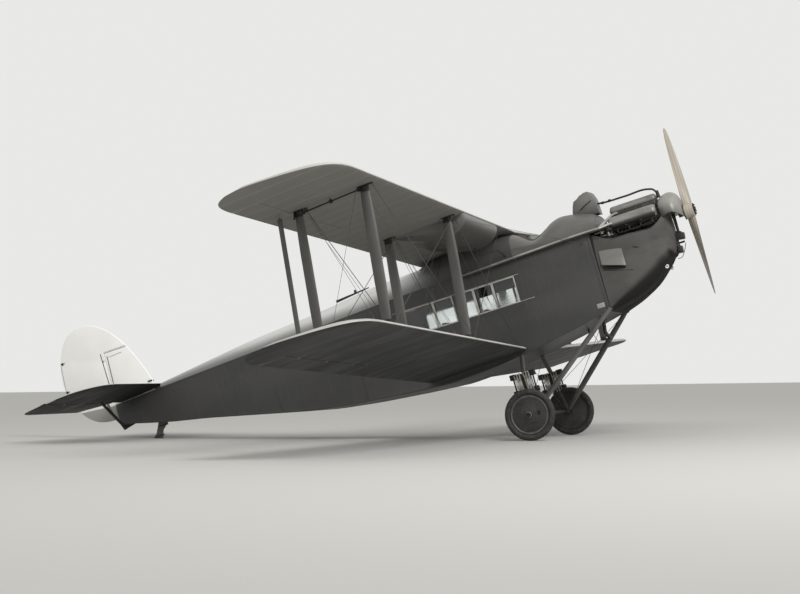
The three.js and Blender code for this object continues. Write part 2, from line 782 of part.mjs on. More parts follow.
for (const [word, back] of [
  ["front", 0],
  ["rear", SPAR_SPACING],
]) {
  const net = clearOf(stays(back), fuelTank);
  addPiece(`${word}_stays_port`, net, "steel");
  addPiece(`${word}_stays_starboard`, mirrored(net), "steel");
}

// Nose
// The cowl is a shell, open on top where the cylinder banks stand out of it.
const NOSE_SIDE = [
  [-1500 + GAP, -130],
  [-420, -130],
  [-300, -90],
  [-268, -200],
  [-262, -420],
  [-290, -560],
  [-400, -710],
  [-550, -860],
  [-720, -1000],
  [-1040, -1160],
  [-1500 + GAP, -1285],
];
const NOSE_PLAN = [
  [-1500 + GAP, 580],
  [-1000, 540],
  [-640, 470],
  [-430, 385],
  [-310, 255],
  [-262, 110],
];
const mirroredPlan = (points) => [...points, ...points.map(([x, y]) => [x, -y]).reverse()];
const inset = (points, cx, cz, by) =>
  points.map(([x, z]) => {
    const reach = Math.hypot(x - cx, z - cz);
    return [cx + ((x - cx) * (reach - by)) / reach, cz + ((z - cz) * (reach - by)) / reach];
  });
const noseSolid = prismY(NOSE_SIDE, -700, 700).intersect(
  prismZ(mirroredPlan(NOSE_PLAN), -1400, 0),
);
const innerSide = inset(NOSE_SIDE.slice(2, -1), -900, -500, 24);
const innerPlan = NOSE_PLAN.map(([x, y]) => [x - 18, y - 18]);
const noseHollow = prismY(
  [[-1600, 100], [-380, 100], ...innerSide, [-1600, -1280]],
  -700,
  700,
).intersect(prismZ(mirroredPlan(innerPlan), -1400, 200));
const gearAxis = (x) => [x, 0, SHAFT_Z];
const PROPELLER = { x: 62, lean: THREE.MathUtils.degToRad(2.6), boss: 125, depth: 150 };
const DOME_Z = -10; // the casing sits a little above the shaft's line
const GEAR_COWL = [
  { x: -378, radius: 256 },
  { x: -368, radius: 275 },
  { x: -305, radius: 322 },
  { x: -232, radius: 345 },
  { x: -148, radius: 342 },
  { x: -78, radius: 294 },
  { x: -35, radius: 212 },
  { x: -22, radius: 120 },
];
// The casing is a hood: below this arched edge it is open
const HOOD_EDGE = [
  [-400, -105],
  [-368, -76],
  [-319, -54],
  [-276, -37],
  [-237, -25],
  [-202, -20],
  [-154, -27],
  [-103, -58],
  [-58, -88],
  [-33, -118],
  [0, -150],
];
const turned = (rows, sides) => {
  const profile = [
    new THREE.Vector2(0, rows[0].x),
    ...rows.map((row) => new THREE.Vector2(row.radius, row.x)),
    new THREE.Vector2(0, rows.at(-1).x),
  ];
  const geometry = new THREE.LatheGeometry(profile, sides);
  return solid(geometry.rotateZ(-Math.PI / 2).translate(0, 0, DOME_Z));
};
const gearCowl = turned(GEAR_COWL, 24)
  .subtract(prismY([...HOOD_EDGE, [0, -500], [-400, -500]], -500, 500))
  .add(rod(gearAxis(-100), gearAxis(PROPELLER.x - PROPELLER.depth / 2 - GAP), 62, 20));
const noseCowl = clearOf(
  noseSolid.subtract(noseHollow).subtract(block(-420, 0, -700, 700, -129, 0)),
  gearCowl,
);
addPiece("nose_cowl", noseCowl, "cowl");
addPiece("gear_cowl", gearCowl, "cowl");

// Engine: a crankcase block with three banks of cylinders, upright and sixty degrees to each side
const ENGINE = { front: -500, crankZ: -150, tilt: THREE.MathUtils.degToRad(60) };
const bank = block(-1175, GEAR_COWL[0].x - GAP, -105, 105, 120, 545);
const bankAt = (angle) =>
  moved(
    bank,
    new THREE.Matrix4()
      .makeTranslation(0, 0, ENGINE.crankZ)
      .multiply(new THREE.Matrix4().makeRotationX(angle)),
  );
const sump = block(BULKHEAD.engine + BULKHEAD.thick + GAP, ENGINE.front, -210, 210, -620, 15);
const engine = clearOf(
  joined([sump, bankAt(0), bankAt(ENGINE.tilt), bankAt(-ENGINE.tilt)]),
  gearCowl,
  noseCowl,
);
addPiece("engine", engine, "engine_metal");

// Header tank in front of the cockpit, cut to sit on the coaming
const headerSide = [
  [-1759, 400],
  [-1759, 488],
  [-1722, 595],
  [-1689, 661],
  [-1610, 694],
  [-1570, 727],
  [-1435, 757],
  [-1370, 719],
  [-1327, 600],
  [-1317, 343],
];
const headerPlan = [
  [-1770, 95],
  [-1640, 140],
  [-1440, 140],
  [-1350, 95],
  [-1310, 45],
];
const headerBox = prismY(headerSide, -200, 200).intersect(
  prismZ(mirroredPlan(headerPlan), 300, 800),
);
const headerTank = clearOf(headerBox, coamingSolid, engine);
addPiece("header_tank", headerTank, "dark_dope");

// Water pipe from the top bank's front end back to the header tank
const waterPath = new THREE.CatmullRomCurve3([
  new THREE.Vector3(-1345, -60, 520),
  new THREE.Vector3(-1240, -60, 505),
  new THREE.Vector3(-460, -60, 480),
  new THREE.Vector3(-390, -60, 455),
  new THREE.Vector3(-372 + 20, -60, 396),
]);
const pipeSection = (radius, sides) =>
  new THREE.Shape(
    Array.from({ length: sides }, (_, i) => {
      const angle = (2 * Math.PI * i) / sides;
      return new THREE.Vector2(radius * Math.cos(angle), radius * Math.sin(angle));
    }),
  );
const pipe = (path, radius, steps, sides = 8) =>
  solid(
    new THREE.ExtrudeGeometry(pipeSection(radius, sides), {
      steps,
      bevelEnabled: false,
      extrudePath: path,
    }),
  );
addPiece("coolant_pipe", clearOf(pipe(waterPath, 16, 24), headerTank, engine), "dark_steel");

// Exhaust pipes run back along the top longerons. Each gathers a branch from its side bank and
// one from the top bank, and stands on two brackets.
const EXHAUST = { radius: 30, brackets: [[-3560, -20], [-2750, -2], [-1950, 26]] };
const spline = (points) => new THREE.CatmullRomCurve3(points.map((p) => new THREE.Vector3(...p)));
const lowBranch = spline([
  [-3700, 690, -24],
  [-3060, 690, -10],
  [-2305, 666, 14],
  [-1900, 652, 28],
  [-1450, 638, 30],
  [-1330, 630, 30],
  [-1215, 560, 50],
  [-1080, 430, 75],
]);
const highBranch = spline([
  [-1430, 637, 30],
  [-1335, 628, 36],
  [-1262, 560, 78],
  [-1190, 430, 148],
  [-1120, 260, 222],
  [-1060, 90, 262],
]);
const bracket = ([x, z]) => {
  const skin = along(PLAN, x - 15, "half") + 1;
  return block(x - 15, x + 15, skin, skin + 55, z - 14, z + 14);
};
const exhaust = clearOf(
  joined([
    pipe(lowBranch, EXHAUST.radius, 28, 10),
    pipe(highBranch, EXHAUST.radius - 3, 12, 10),
    ...EXHAUST.brackets.map(bracket),
  ]),
  engine,
  noseCowl,
  coamingSolid,
);
addPiece("exhaust_pipe_port", exhaust, "dark_steel");
addPiece("exhaust_pipe_starboard", mirrored(exhaust), "dark_steel");

// Propeller: two wooden blades, upright as parked
// out is the place along the blade, chord and thick its width and depth, turn its pitch in degrees
const BLADE = [
  { out: 0, chord: 150, thick: 130, turn: 62 },
  { out: 160, chord: 170, thick: 100, turn: 55 },
  { out: 400, chord: 190, thick: 62, turn: 42 },
  { out: 750, chord: 208, thick: 36, turn: 30 },
  { out: 1080, chord: 188, thick: 22, turn: 23 },
  { out: 1300, chord: 128, thick: 13, turn: 20 },
  { out: PROPELLER_RADIUS, chord: 40, thick: 8, turn: 19 },
];
const bladeRing = ({ out, chord, thick, turn }) => {
  const angle = THREE.MathUtils.degToRad(turn);
  const half = [
    [0.5, 0],
    [0.28, 0.42],
    [-0.1, 0.5],
    [-0.5, 0],
    [-0.1, -0.2],
    [0.28, -0.18],
  ];
  return half.map(([a, b]) => {
    const across = a * chord;
    const deep = b * thick;
    return new THREE.Vector3(
      across * Math.sin(angle) + deep * Math.cos(angle),
      across * Math.cos(angle) - deep * Math.sin(angle),
      out,
    );
  });
};
const blade = loft(BLADE.map(bladeRing), flatZ);
const halfTurn = new THREE.Matrix4().makeRotationX(Math.PI);
const bossBody = rod([-PROPELLER.depth / 2, 0, 0], [PROPELLER.depth / 2, 0, 0], PROPELLER.boss, 20);
const propellerPlace = new THREE.Matrix4()
  .makeTranslation(PROPELLER.x, 0, SHAFT_Z)
  .multiply(new THREE.Matrix4().makeRotationX(PROPELLER.lean));
const hubPlate = joined([
  rod([PROPELLER.depth / 2 - 5, 0, 0], [PROPELLER.depth / 2 + 12, 0, 0], 100, 20),
  rod([PROPELLER.depth / 2 + 5, 0, 0], [PROPELLER.depth / 2 + 30, 0, 0], 40, 12),
]);
const propeller = joined([blade, moved(blade, halfTurn), bossBody, hubPlate]);
addPiece("propeller", moved(propeller, propellerPlace), "wood");

// Tail
// The tailplane is drawn flat, its leading edge on y = 0, then set at its own slope.
const tailMatrix = new THREE.Matrix4()
  .makeTranslation(TAILPLANE.x, 0, TAILPLANE.z)
  .multiply(new THREE.Matrix4().makeRotationY(-Math.atan(TAILPLANE.slope)));
const tailRing = ({ out, lead, trail, depth }, grow) => {
  const front = -lead + grow;
  const back = -TAILPLANE.chord + trail - grow;
  const at = (row, sign) =>
    new THREE.Vector3(
      front + (back - front) * row.back,
      out,
      sign * (row.top * TAILPLANE.thick * depth + grow),
    );
  return [
    ...TAIL_SECTION.map((row) => at(row, 1)),
    ...TAIL_SECTION.slice(1)
      .reverse()
      .map((row) => at(row, -1)),
  ];
};
const tailPanel = (grow) => {
  const flip = (row) => ({ ...row, out: -row.out });
  const rows = [...TAIL_TIP.map(flip).reverse(), ...TAIL_TIP];
  return loft(
    rows.map((row) => tailRing(row, grow)),
    flatY,
  );
};
const ELEVATOR = { inboard: 300, trailingInboard: 620, nose: 27, tube: 19 };
const elevatorLugs = lugStations(ELEVATOR.inboard + 60, 2200, 3);
const wholeTail = tailPanel(0);
const elevatorBay = block(-2000, -TAILPLANE.hinge + ELEVATOR.nose + RUN, -3000, 3000, -200, 200);
const torqueTube = (radius) =>
  rod(
    [-TAILPLANE.hinge, -ELEVATOR.inboard - 20, 0],
    [-TAILPLANE.hinge, ELEVATOR.inboard + 20, 0],
    radius,
    12,
  );
const fixedTail = joined([
  wholeTail.subtract(elevatorBay),
  ...[1, -1].flatMap((side) =>
    elevatorLugs.map((y) =>
      hingeLug(-TAILPLANE.hinge, side * y, 0, ELEVATOR.nose + RUN + 6),
    ),
  ),
]);
const elevatorPlan = [
  [-TAILPLANE.hinge, ELEVATOR.inboard],
  [-TAILPLANE.hinge, 3000],
  [-TAILPLANE.chord, 3000],
  [-TAILPLANE.chord, ELEVATOR.trailingInboard],
];
const elevatorFlat = wholeTail
  .intersect(prismZ(elevatorPlan, -200, 200))
  .add(
    rod(
      [-TAILPLANE.hinge, ELEVATOR.inboard, 0],
      [-TAILPLANE.hinge, 2400, 0],
      ELEVATOR.nose,
      16,
    ).intersect(wholeTail.intersect(block(-2000, 0, 0, 3000, -200, 200))),
  )
  .subtract(joined(elevatorLugs.map((y) => hingeSlot(-TAILPLANE.hinge, y, 0))));
const rudderRoom = block(-12000, RUDDER_HINGE_X + 27, -60, 60, -900, 3000);
addPiece("tailplane", moved(fixedTail, tailMatrix).subtract(rudderRoom), "dark_dope");
const elevatorPair = joined([elevatorFlat, mirrored(elevatorFlat), torqueTube(ELEVATOR.tube)]);
addPiece("elevator", moved(elevatorPair, tailMatrix), "dark_dope");
const tubeRoom = moved(torqueTube(ELEVATOR.tube + 6), tailMatrix);
const grownTail = moved(tailPanel(GAP), tailMatrix);
addPiece("rear_fuselage", rearFuselage.subtract(grownTail), "dark_dope");

// Fin and rudder share one outline; the rudder's horn reaches forward over the fin.
const HORN = { bottom: 800, finTop: 785 };
const finRoot = -130;
const tailOutline = new THREE.Shape();
tailOutline.moveTo(-10000, finRoot);
tailOutline.lineTo(-10000, 60);
tailOutline.quadraticCurveTo(-10130, 430, -10350, 800);
tailOutline.quadraticCurveTo(-10620, 1220, -10960, 1360);
tailOutline.quadraticCurveTo(-11330, 1470, -11560, 1230);
tailOutline.quadraticCurveTo(-11760, 1000, -11790, 560);
tailOutline.quadraticCurveTo(-11800, 200, -11590, -90);
tailOutline.quadraticCurveTo(-11390, -420, -10990, -440);
tailOutline.lineTo(-10000, -440);
tailOutline.closePath();
const RUDDER = { half: 24, nose: 24 };
const tailSlab = (half) => prismY(tailOutline, -half, half);
const finFront = block(-10900, -9000, -100, 100, -1000, HORN.finTop);
const finBehind = block(-12500, RUDDER_HINGE_X + RUDDER.nose + RUN, -100, 100, -1000, 3000);
const rudderLugs = [150, 640];
const lugUp = (z) =>
  joined([
    block(
      RUDDER_HINGE_X,
      RUDDER_HINGE_X + RUDDER.nose + RUN + 8,
      -10,
      10,
      z - HINGE_LUG.width / 2,
      z + HINGE_LUG.width / 2,
    ),
    rod(
      [RUDDER_HINGE_X, 0, z - HINGE_LUG.width / 2],
      [RUDDER_HINGE_X, 0, z + HINGE_LUG.width / 2],
      HINGE_LUG.radius,
      12,
    ),
  ]);
const fin = tailSlab(20)
  .intersect(finFront)
  .subtract(finBehind)
  .subtract(moved(rearFuselage, new THREE.Matrix4().makeTranslation(0, 0, GAP)))
  .subtract(moved(fixedTail, tailMatrix))
  .subtract(grownTail)
  .subtract(tubeRoom)
  .add(joined(rudderLugs.map(lugUp)));
const finBodies = fin.decompose();
addPiece(
  "fin",
  finBodies.reduce((a, b) => (a.volume() > b.volume() ? a : b)),
  "white_dope",
);
const rudderBody = tailSlab(RUDDER.half)
  .intersect(
    joined([
      block(-12500, RUDDER_HINGE_X, -100, 100, -1000, 3000),
      block(-12500, -9000, -100, 100, HORN.bottom, 3000),
    ]),
  )
  .add(
    rod([RUDDER_HINGE_X, 0, -435], [RUDDER_HINGE_X, 0, HORN.bottom + 1], RUDDER.nose, 16),
  )
  .subtract(
    joined(
      rudderLugs.map((z) =>
        block(
          RUDDER_HINGE_X - HINGE_LUG.behind,
          RUDDER_HINGE_X + 100,
          -100,
          100,
          z - HINGE_LUG.width / 2 - GAP,
          z + HINGE_LUG.width / 2 + GAP,
        ),
      ),
    ),
  );
addPiece("rudder", rudderBody, "white_dope");

// Tailplane struts: one each side, from a fitting under the sternpost
const sternFoot = [-10772, 0, -618];
const tailStrut = strut(sternFoot, [-10684, 830, -130], 48, 26);
addPiece(
  "tailplane_struts",
  clearOf(
    joined([tailStrut, mirrored(tailStrut), block(-10802, -10740, -30, 30, -640, -560)]),
    rearFuselage,
  ).subtract(grownTail),
  "dark_dope",
);

// Ground line: the height of z = 0 in the aeroplane's frame, below the wheels' flats
const flatRadius = WHEEL.radius * Math.cos(Math.PI / WHEEL.sides);
const cosPitch = Math.cos(PARKED_PITCH);
const sinPitch = Math.sin(PARKED_PITCH);
const groundHeight = sinPitch * WHEEL.x + cosPitch * WHEEL.z - flatRadius;
const groundZ = (x) => (groundHeight - sinPitch * x) / cosPitch;

// Tail skid: a sprung leg with a steel shoe flat on the ground
const skid = prismY(
  [
    [SKID_X + 80, groundZ(SKID_X + 80)],
    [SKID_X - 70, groundZ(SKID_X - 70)],
    [SKID_X - 72, groundZ(SKID_X - 72) + 22],
    [SKID_X - 30, groundZ(SKID_X - 30) + 60],
    [SKID_X + 90, along(BOTTOM_LINE, SKID_X + 90, "z") - GAP],
    [SKID_X + 290, along(BOTTOM_LINE, SKID_X + 290, "z") - GAP],
  ],
  -32,
  32,
);
addPiece("tail_skid", skid, "dark_steel");

// Undercarriage
// Each side frame is a front leg, a rear leg and the rack that the elastic cord winds round.
const RACK = { x: -3115, half: 185, top: -1865, bottom: -2135, y: 850 };
const axleHole = rod(
  [WHEEL.x, 0, WHEEL.z],
  [WHEEL.x, 2000, WHEEL.z],
  AXLE.radius + GAP,
  16,
);
const shellBlock = prismZ(
  mirroredPlan(wallPlan.map((row) => [row.x, row.half])),
  -2000,
  500,
).intersect(prismY(sideOutline(PLAN[0].x, SEAM_X), -1000, 1000));
const rackBar = (half, low, high) =>
  block(RACK.x - half, RACK.x + half, RACK.y - 35, RACK.y + 35, low, high);
const frameParts = joined([
  strut([-1490, 604, -1238], [WHEEL.x, 1050, WHEEL.z], 105, 50),
  strut([-3100, 610, -1500], [-3092, RACK.y, RACK.top + 10], 80, 40),
  rackBar(RACK.half, RACK.top - 30, RACK.top + 25),
  rackBar(RACK.half - 10, RACK.bottom - 25, RACK.bottom + 20),
  block(RACK.x - 155, RACK.x + 155, RACK.y - 30, RACK.y + 30, RACK.bottom, RACK.top),
  strut([RACK.x + 20, RACK.y, RACK.bottom], [WHEEL.x, 955, WHEEL.z], 150, 50),
  rod([WHEEL.x, 905, WHEEL.z], [WHEEL.x, 1125, WHEEL.z], 46, 16),
]);
const sideFrame = clearOf(frameParts, shellBlock, noseSolid)
  .subtract(grownWings[1].port)
  .subtract(axleHole);
addPiece("undercarriage_frame_port", sideFrame, "strut_paint");
addPiece("undercarriage_frame_starboard", mirrored(sideFrame), "strut_paint");
const axle = rod([WHEEL.x, -AXLE.end, WHEEL.z], [WHEEL.x, AXLE.end, WHEEL.z], AXLE.radius, 16);
addPiece("axle", axle, "dark_steel");

// A wheel turned about its axle: rim and coned discs, and the tyre round it
// Its flats are turned so that one lies on the ground in the parked attitude.
function turnedWheel(profile) {
  const geometry = new THREE.LatheGeometry(
    profile.map(([radius, across]) => new THREE.Vector2(radius, across)),
    WHEEL.sides,
  );
  geometry.rotateY(PARKED_PITCH + Math.PI / WHEEL.sides);
  return solid(geometry);
}
const bore = AXLE.radius + GAP;
const wheelProfile = [
  [bore, -78],
  [60, -78],
  [64, -66],
  [WHEEL.rim - 14, -30],
  [WHEEL.rim, -26],
  [WHEEL.rim, 26],
  [WHEEL.rim - 14, 30],
  [64, 66],
  [60, 78],
  [bore, 78],
  [bore, -78],
];
const tyreCentre = WHEEL.radius - WHEEL.tyre;
const tyreProfile = [];
for (let i = 0; i <= 12; i++) {
  const angle = (-1.15 + (2 * 1.15 * i) / 12) * (Math.PI / 1.6);
  tyreProfile.push([
    tyreCentre + WHEEL.tyre * Math.cos(angle),
    WHEEL.tyre * Math.sin(angle),
  ]);
}
const openTyre = tyreProfile.filter(([radius]) => radius > WHEEL.rim + GAP);
const tyreLoop = [
  [WHEEL.rim + GAP, -25],
  ...openTyre,
  [WHEEL.rim + GAP, 25],
  [WHEEL.rim + GAP, -25],
];
const wheelPlace = (side) =>
  new THREE.Matrix4().makeTranslation(WHEEL.x, side * WHEEL.y, WHEEL.z);
for (const [word, side] of [
  ["port", 1],
  ["starboard", -1],
]) {
  addPiece(`wheel_${word}`, moved(turnedWheel(wheelProfile), wheelPlace(side)), "cowl");
  addPiece(`tyre_${word}`, moved(turnedWheel(tyreLoop), wheelPlace(side)), "rubber");
}

// The parked attitude, with the middle of the whole aeroplane's length on x = 0
const parked = new THREE.Group();
aeroplane.rotation.y = -PARKED_PITCH;
parked.add(aeroplane);
parked.updateMatrixWorld(true);
const bounds = new THREE.Box3().setFromObject(parked, true);
aeroplane.position.set(-(bounds.min.x + bounds.max.x) / 2, 0, -groundHeight);

export default parked;
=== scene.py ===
# %% [markdown]
# # A passenger biplane, dressed over its CAD frame
# The CAD model fixes every size and joint. Here each part gets the skin, fittings and finish that
# the real machine shows: doped fabric over ribs, plywood sides, sheet metal round the engine,
# and a wire-braced undercarriage. A part either keeps its CAD mesh and gets a material, or is
# replaced by a finer piece that stands where the CAD node stands.

import math

import bmesh
import bpy
import numpy as np
from mathutils import Matrix, Vector


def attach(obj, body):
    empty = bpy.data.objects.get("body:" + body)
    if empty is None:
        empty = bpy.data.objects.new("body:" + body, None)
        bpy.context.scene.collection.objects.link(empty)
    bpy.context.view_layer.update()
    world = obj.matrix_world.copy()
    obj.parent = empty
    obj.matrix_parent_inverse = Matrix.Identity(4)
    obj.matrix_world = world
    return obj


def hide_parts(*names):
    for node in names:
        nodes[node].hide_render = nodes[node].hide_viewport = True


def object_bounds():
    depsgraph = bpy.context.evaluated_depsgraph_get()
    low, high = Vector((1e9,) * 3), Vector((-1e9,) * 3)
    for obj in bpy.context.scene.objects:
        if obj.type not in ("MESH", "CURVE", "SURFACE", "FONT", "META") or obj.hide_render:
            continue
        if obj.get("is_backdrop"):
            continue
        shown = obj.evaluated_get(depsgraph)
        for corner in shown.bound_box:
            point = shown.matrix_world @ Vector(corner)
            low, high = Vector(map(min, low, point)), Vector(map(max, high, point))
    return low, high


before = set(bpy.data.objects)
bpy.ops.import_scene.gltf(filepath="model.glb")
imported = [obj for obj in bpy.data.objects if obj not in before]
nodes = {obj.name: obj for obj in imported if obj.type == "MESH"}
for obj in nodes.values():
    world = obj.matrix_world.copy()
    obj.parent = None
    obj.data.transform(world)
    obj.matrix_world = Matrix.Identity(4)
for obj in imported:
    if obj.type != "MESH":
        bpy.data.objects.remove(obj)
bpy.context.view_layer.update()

# %% [markdown]
# ## One drawing frame for the whole machine
# The aeroplane parks nose up, but it is far easier to draw it level: x forward along the
# propeller shaft, y to port, z up. One matrix then tips the finished meshes to the parked
# attitude. It is applied to the mesh and not to the object, so every object stays at the origin.

# %% The parked attitude
PITCH = math.radians(15.42)
SHIFT = Vector((5.548586, 0, 3.659786))
PARKED = Matrix.Translation(SHIFT) @ Matrix.Rotation(-PITCH, 4, "Y")
SIDES = (("port", 1), ("starboard", -1))
print("shaft line's origin stands at", [round(c, 3) for c in PARKED @ Vector((0, 0, 0))])


def turned(degrees, axis):
    """A rotation about one axis."""
    return Matrix.Rotation(math.radians(degrees), 4, axis)


def at(tipped, x, y, z):
    """A point of a drawing that a matrix tips or shifts."""
    return tipped @ Vector((x, y, z))


# %% [markdown]
# ## Small tools
# A material reads colours as linear light, so one function turns a hex code from sRGB. A table
# of measured stations becomes a smooth line with `curve`.

# %% Colours and smooth tables
def colour(code):
    """A hex code such as #c9c9c7 as linear red, green, blue and alpha."""
    parts = [int(code[i : i + 2], 16) / 255 for i in (1, 3, 5)]
    return [c / 12.92 if c <= 0.04045 else ((c + 0.055) / 1.055) ** 2.4 for c in parts] + [1]


def curve(keys, values):
    """A smooth line through a table of keys (rising) and values (numbers or points)."""
    k, v = np.array(keys, float), np.array(values, float)
    slope = np.gradient(v, k, axis=0)

    def read(t):
        i = int(np.clip(np.searchsorted(k, t) - 1, 0, len(k) - 2))
        h = k[i + 1] - k[i]
        s = min(max((t - k[i]) / h, 0), 1)
        near = (2 * s**3 - 3 * s**2 + 1) * v[i] + (s**3 - 2 * s**2 + s) * h * slope[i]
        return near + (3 * s**2 - 2 * s**3) * v[i + 1] + (s**3 - s**2) * h * slope[i + 1]

    return read


def lines(table):
    """Each column of a table as a smooth line read by the first column."""
    columns = list(zip(*sorted(table)))
    return [curve(columns[0], column) for column in columns[1:]]


def path_through(points):
    """A smooth line through points, read from 0 to 1 by the distance between them."""
    spans = [math.dist(a, b) for a, b in zip(points, points[1:])]
    return curve(np.concatenate([[0], np.cumsum(spans)]) / sum(spans), points)


def squarer(value, power):
    """A power of a sine or cosine that keeps its sign: it makes a circle squarer."""
    return math.copysign(abs(value) ** power, value)


def ring_point(here, way, up, u, radius):
    """The point u of the way round a ring that a path pierces, heading way."""
    way.normalize()
    side, angle = way.cross(Vector(up)).normalized(), 2 * math.pi * u
    return here + (side * math.cos(angle) + side.cross(way) * math.sin(angle)) * radius


# %% [markdown]
# All drawing goes onto one board, the bmesh `bm`. `skin` is the main tool: it makes a grid, bends
# it round a section that changes along its length, and closes its ends. `rod`, `brick`, `lathe`,
# `tube` and `sheet` add simple shapes. `piece` takes the finished drawing off the board.

# %% The drawing board
bm = bmesh.new()


def grid(around, along, place):
    """Bends a grid: place(u, v) gives the point u of the way round and v of the way along."""
    verts = bmesh.ops.create_grid(bm, x_segments=around, y_segments=along, size=0.5)["verts"]
    for vert in verts:
        vert.co = place(*(min(max(c + 0.5, 0), 1) for c in vert.co.xy))
    return verts


def skin(around, along, place, ends=True):
    """A grid closed to a tube, with its ends filled."""
    verts = grid(around, along, place)
    bmesh.ops.remove_doubles(bm, verts=verts, dist=1e-5)
    rims = {edge for vert in verts if vert.is_valid for edge in vert.link_edges}
    rims = [edge for edge in rims if edge.is_boundary]
    if ends and rims:
        bmesh.ops.holes_fill(bm, edges=rims, sides=0)


def loft(around, rows, place):
    """A skin with one ring at each row; place(u, *row) gives the point."""
    count = len(rows) - 1
    skin(around, count, lambda u, v: place(u, *rows[round(v * count)]))


def rod(start, end, radius, far_radius=None, sides=12):
    """A round bar or cone between two points."""
    start, end = Vector(start), Vector(end)
    turn = (end - start).to_track_quat("Z", "Y").to_matrix().to_4x4()
    ends = {"radius1": radius, "radius2": far_radius or radius, "depth": (end - start).length}
    turn = Matrix.Translation((start + end) / 2) @ turn
    bmesh.ops.create_cone(bm, cap_ends=True, segments=sides, matrix=turn, **ends)


def round_edges(edges, size, segments):
    """Bevels some edges of the drawing."""
    how = {"offset_type": "OFFSET", "profile": 0.5, "affect": "EDGES", "material": -1}
    bmesh.ops.bevel(bm, geom=list(edges), offset=size, segments=segments, **how)


def brick(low, high, bevel=0.0, turn=Matrix()):
    """A block between two corners, with rounded edges, turned about its own middle."""
    low, high = Vector(low), Vector(high)
    turn = Matrix.Translation((low + high) / 2) @ turn @ Matrix.Diagonal((*(high - low), 1))
    verts = bmesh.ops.create_cube(bm, size=1, matrix=turn)["verts"]
    if bevel:
        round_edges({edge for vert in verts for edge in vert.link_edges}, bevel, 2)


def lathe(profile, centre, axis, steps=48):
    """Spins a profile of (place along the axis, radius) once round the axis."""
    centre, axis = Vector(centre), Vector(axis).normalized()
    out = axis.orthogonal().normalized()
    geom = [bm.verts.new(centre + axis * a + out * r) for a, r in profile]
    geom += [bm.edges.new(ends) for ends in zip(geom, geom[1:])]
    whole = {"angle": 2 * math.pi, "steps": steps, "use_merge": True}
    bmesh.ops.spin(bm, geom=geom, cent=centre, axis=axis, **whole)
    bmesh.ops.remove_doubles(bm, verts=bm.verts, dist=1e-5)


def tube(points, radius, sides=12, steps=40, up=(0, 0, 1)):
    """A round tube along a smooth line through points; radius may be a function of v."""
    path = path_through(points)

    def place(u, v):
        way = Vector(path(min(v + 1e-3, 1))) - Vector(path(max(v - 1e-3, 0)))
        wide = radius(v) if callable(radius) else radius
        return ring_point(Vector(path(v)), way, up, u, wide)

    skin(sides, steps, place)


def sheet(outline, low, high, bevel=0.0, segments=3):
    """A flat slab of an outline drawn in x and z, from y = low to y = high, edges rounded."""
    near = [bm.verts.new((x, low, z)) for x, z in outline]
    edges = [bm.edges.new(ends) for ends in zip(near, near[1:] + near[:1])]
    face = bmesh.ops.contextual_create(bm, geom=edges)["faces"]
    pulled = bmesh.ops.extrude_face_region(bm, geom=face)["geom"]
    far = [g for g in pulled if isinstance(g, bmesh.types.BMVert)]
    bmesh.ops.translate(bm, vec=(0, high - low, 0), verts=far)
    if bevel:
        rims = {e for v in near + far for e in v.link_edges}
        rims = {e for e in rims if len({v in near for v in e.verts}) == 1}
        round_edges(rims, bevel, segments)


# %% Turning the drawing into finished pieces
def show(name, data):
    """A new object in the scene."""
    made = bpy.data.objects.new(name, data)
    bpy.context.collection.objects.link(made)
    return made


def take(name, turn=PARKED):
    """An object made of a copy of the drawing, turned by a matrix."""
    part = bm.copy()
    bmesh.ops.transform(part, matrix=turn, verts=part.verts)
    bmesh.ops.recalc_face_normals(part, faces=part.faces)
    mesh = bpy.data.meshes.new(name)
    part.to_mesh(mesh)
    part.free()
    return show(name, mesh)


def piece(name, material, slot, stands_for="", body="airframe", corner=40, turn=Matrix()):
    """Gives the drawing its material and body; slot is not used. A * in the names makes one for
    each side.
    """
    for word, side in SIDES if "*" in name else (("", 1),):
        mirrored = PARKED @ Matrix.Diagonal((1, side, 1, 1)) @ turn
        made = take(name.replace("*", word), mirrored)
        made.data.materials.append(material)
        made.data.polygons.foreach_set("use_smooth", [True] * len(made.data.polygons))
        made.data.set_sharp_from_angle(angle=math.radians(corner))
        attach(made, body.replace("*", word))
        if stands_for:
            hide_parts(stands_for.replace("*", word))
        print(made.name, len(made.data.polygons), "faces")
    bm.clear()
    return made


def cut_out(made):
    """Cuts the drawing out of a finished piece and keeps the result in its mesh."""
    cutter = take("cutter")
    bm.clear()
    step = made.modifiers.new("cut", "BOOLEAN")
    step.object, step.operation, step.solver = cutter, "DIFFERENCE", "EXACT"
    bpy.context.view_layer.update()
    seen = made.evaluated_get(bpy.context.evaluated_depsgraph_get())
    fresh = bpy.data.meshes.new_from_object(seen)
    made.modifiers.remove(step)
    bpy.data.objects.remove(cutter)
    made.data = fresh
    fresh.set_sharp_from_angle(angle=math.radians(40))
    print(made.name, "cut:", len(fresh.polygons), "faces")


# %% [markdown]
# ## Camera, floor and light
# The camera stands where the photograph was taken: low, on the starboard side and ahead of the
# wing, with a long lens. Its turn is a heading, a climb and a small roll. A pale floor and a pale
# surround give soft light from all round; one broad lamp high in front draws the bright lines
# along the leading edges.

# %% Camera
camera = show("camera", bpy.data.cameras.new("camera"))
aim = turned(20.228, "Z") @ turned(90 + 2.817, "X") @ turned(-0.839, "Z")
camera.matrix_world = Matrix.Translation((10.401586, -26.443, 1.005786)) @ aim
FOCAL_PIXELS, PICTURE_PIXELS, SENSOR = 1657.2, 800, 36
camera.data.lens = FOCAL_PIXELS / PICTURE_PIXELS * SENSOR
camera.data.clip_end = 500
bpy.context.scene.camera = camera
print("lens", round(camera.data.lens, 1), "mm")


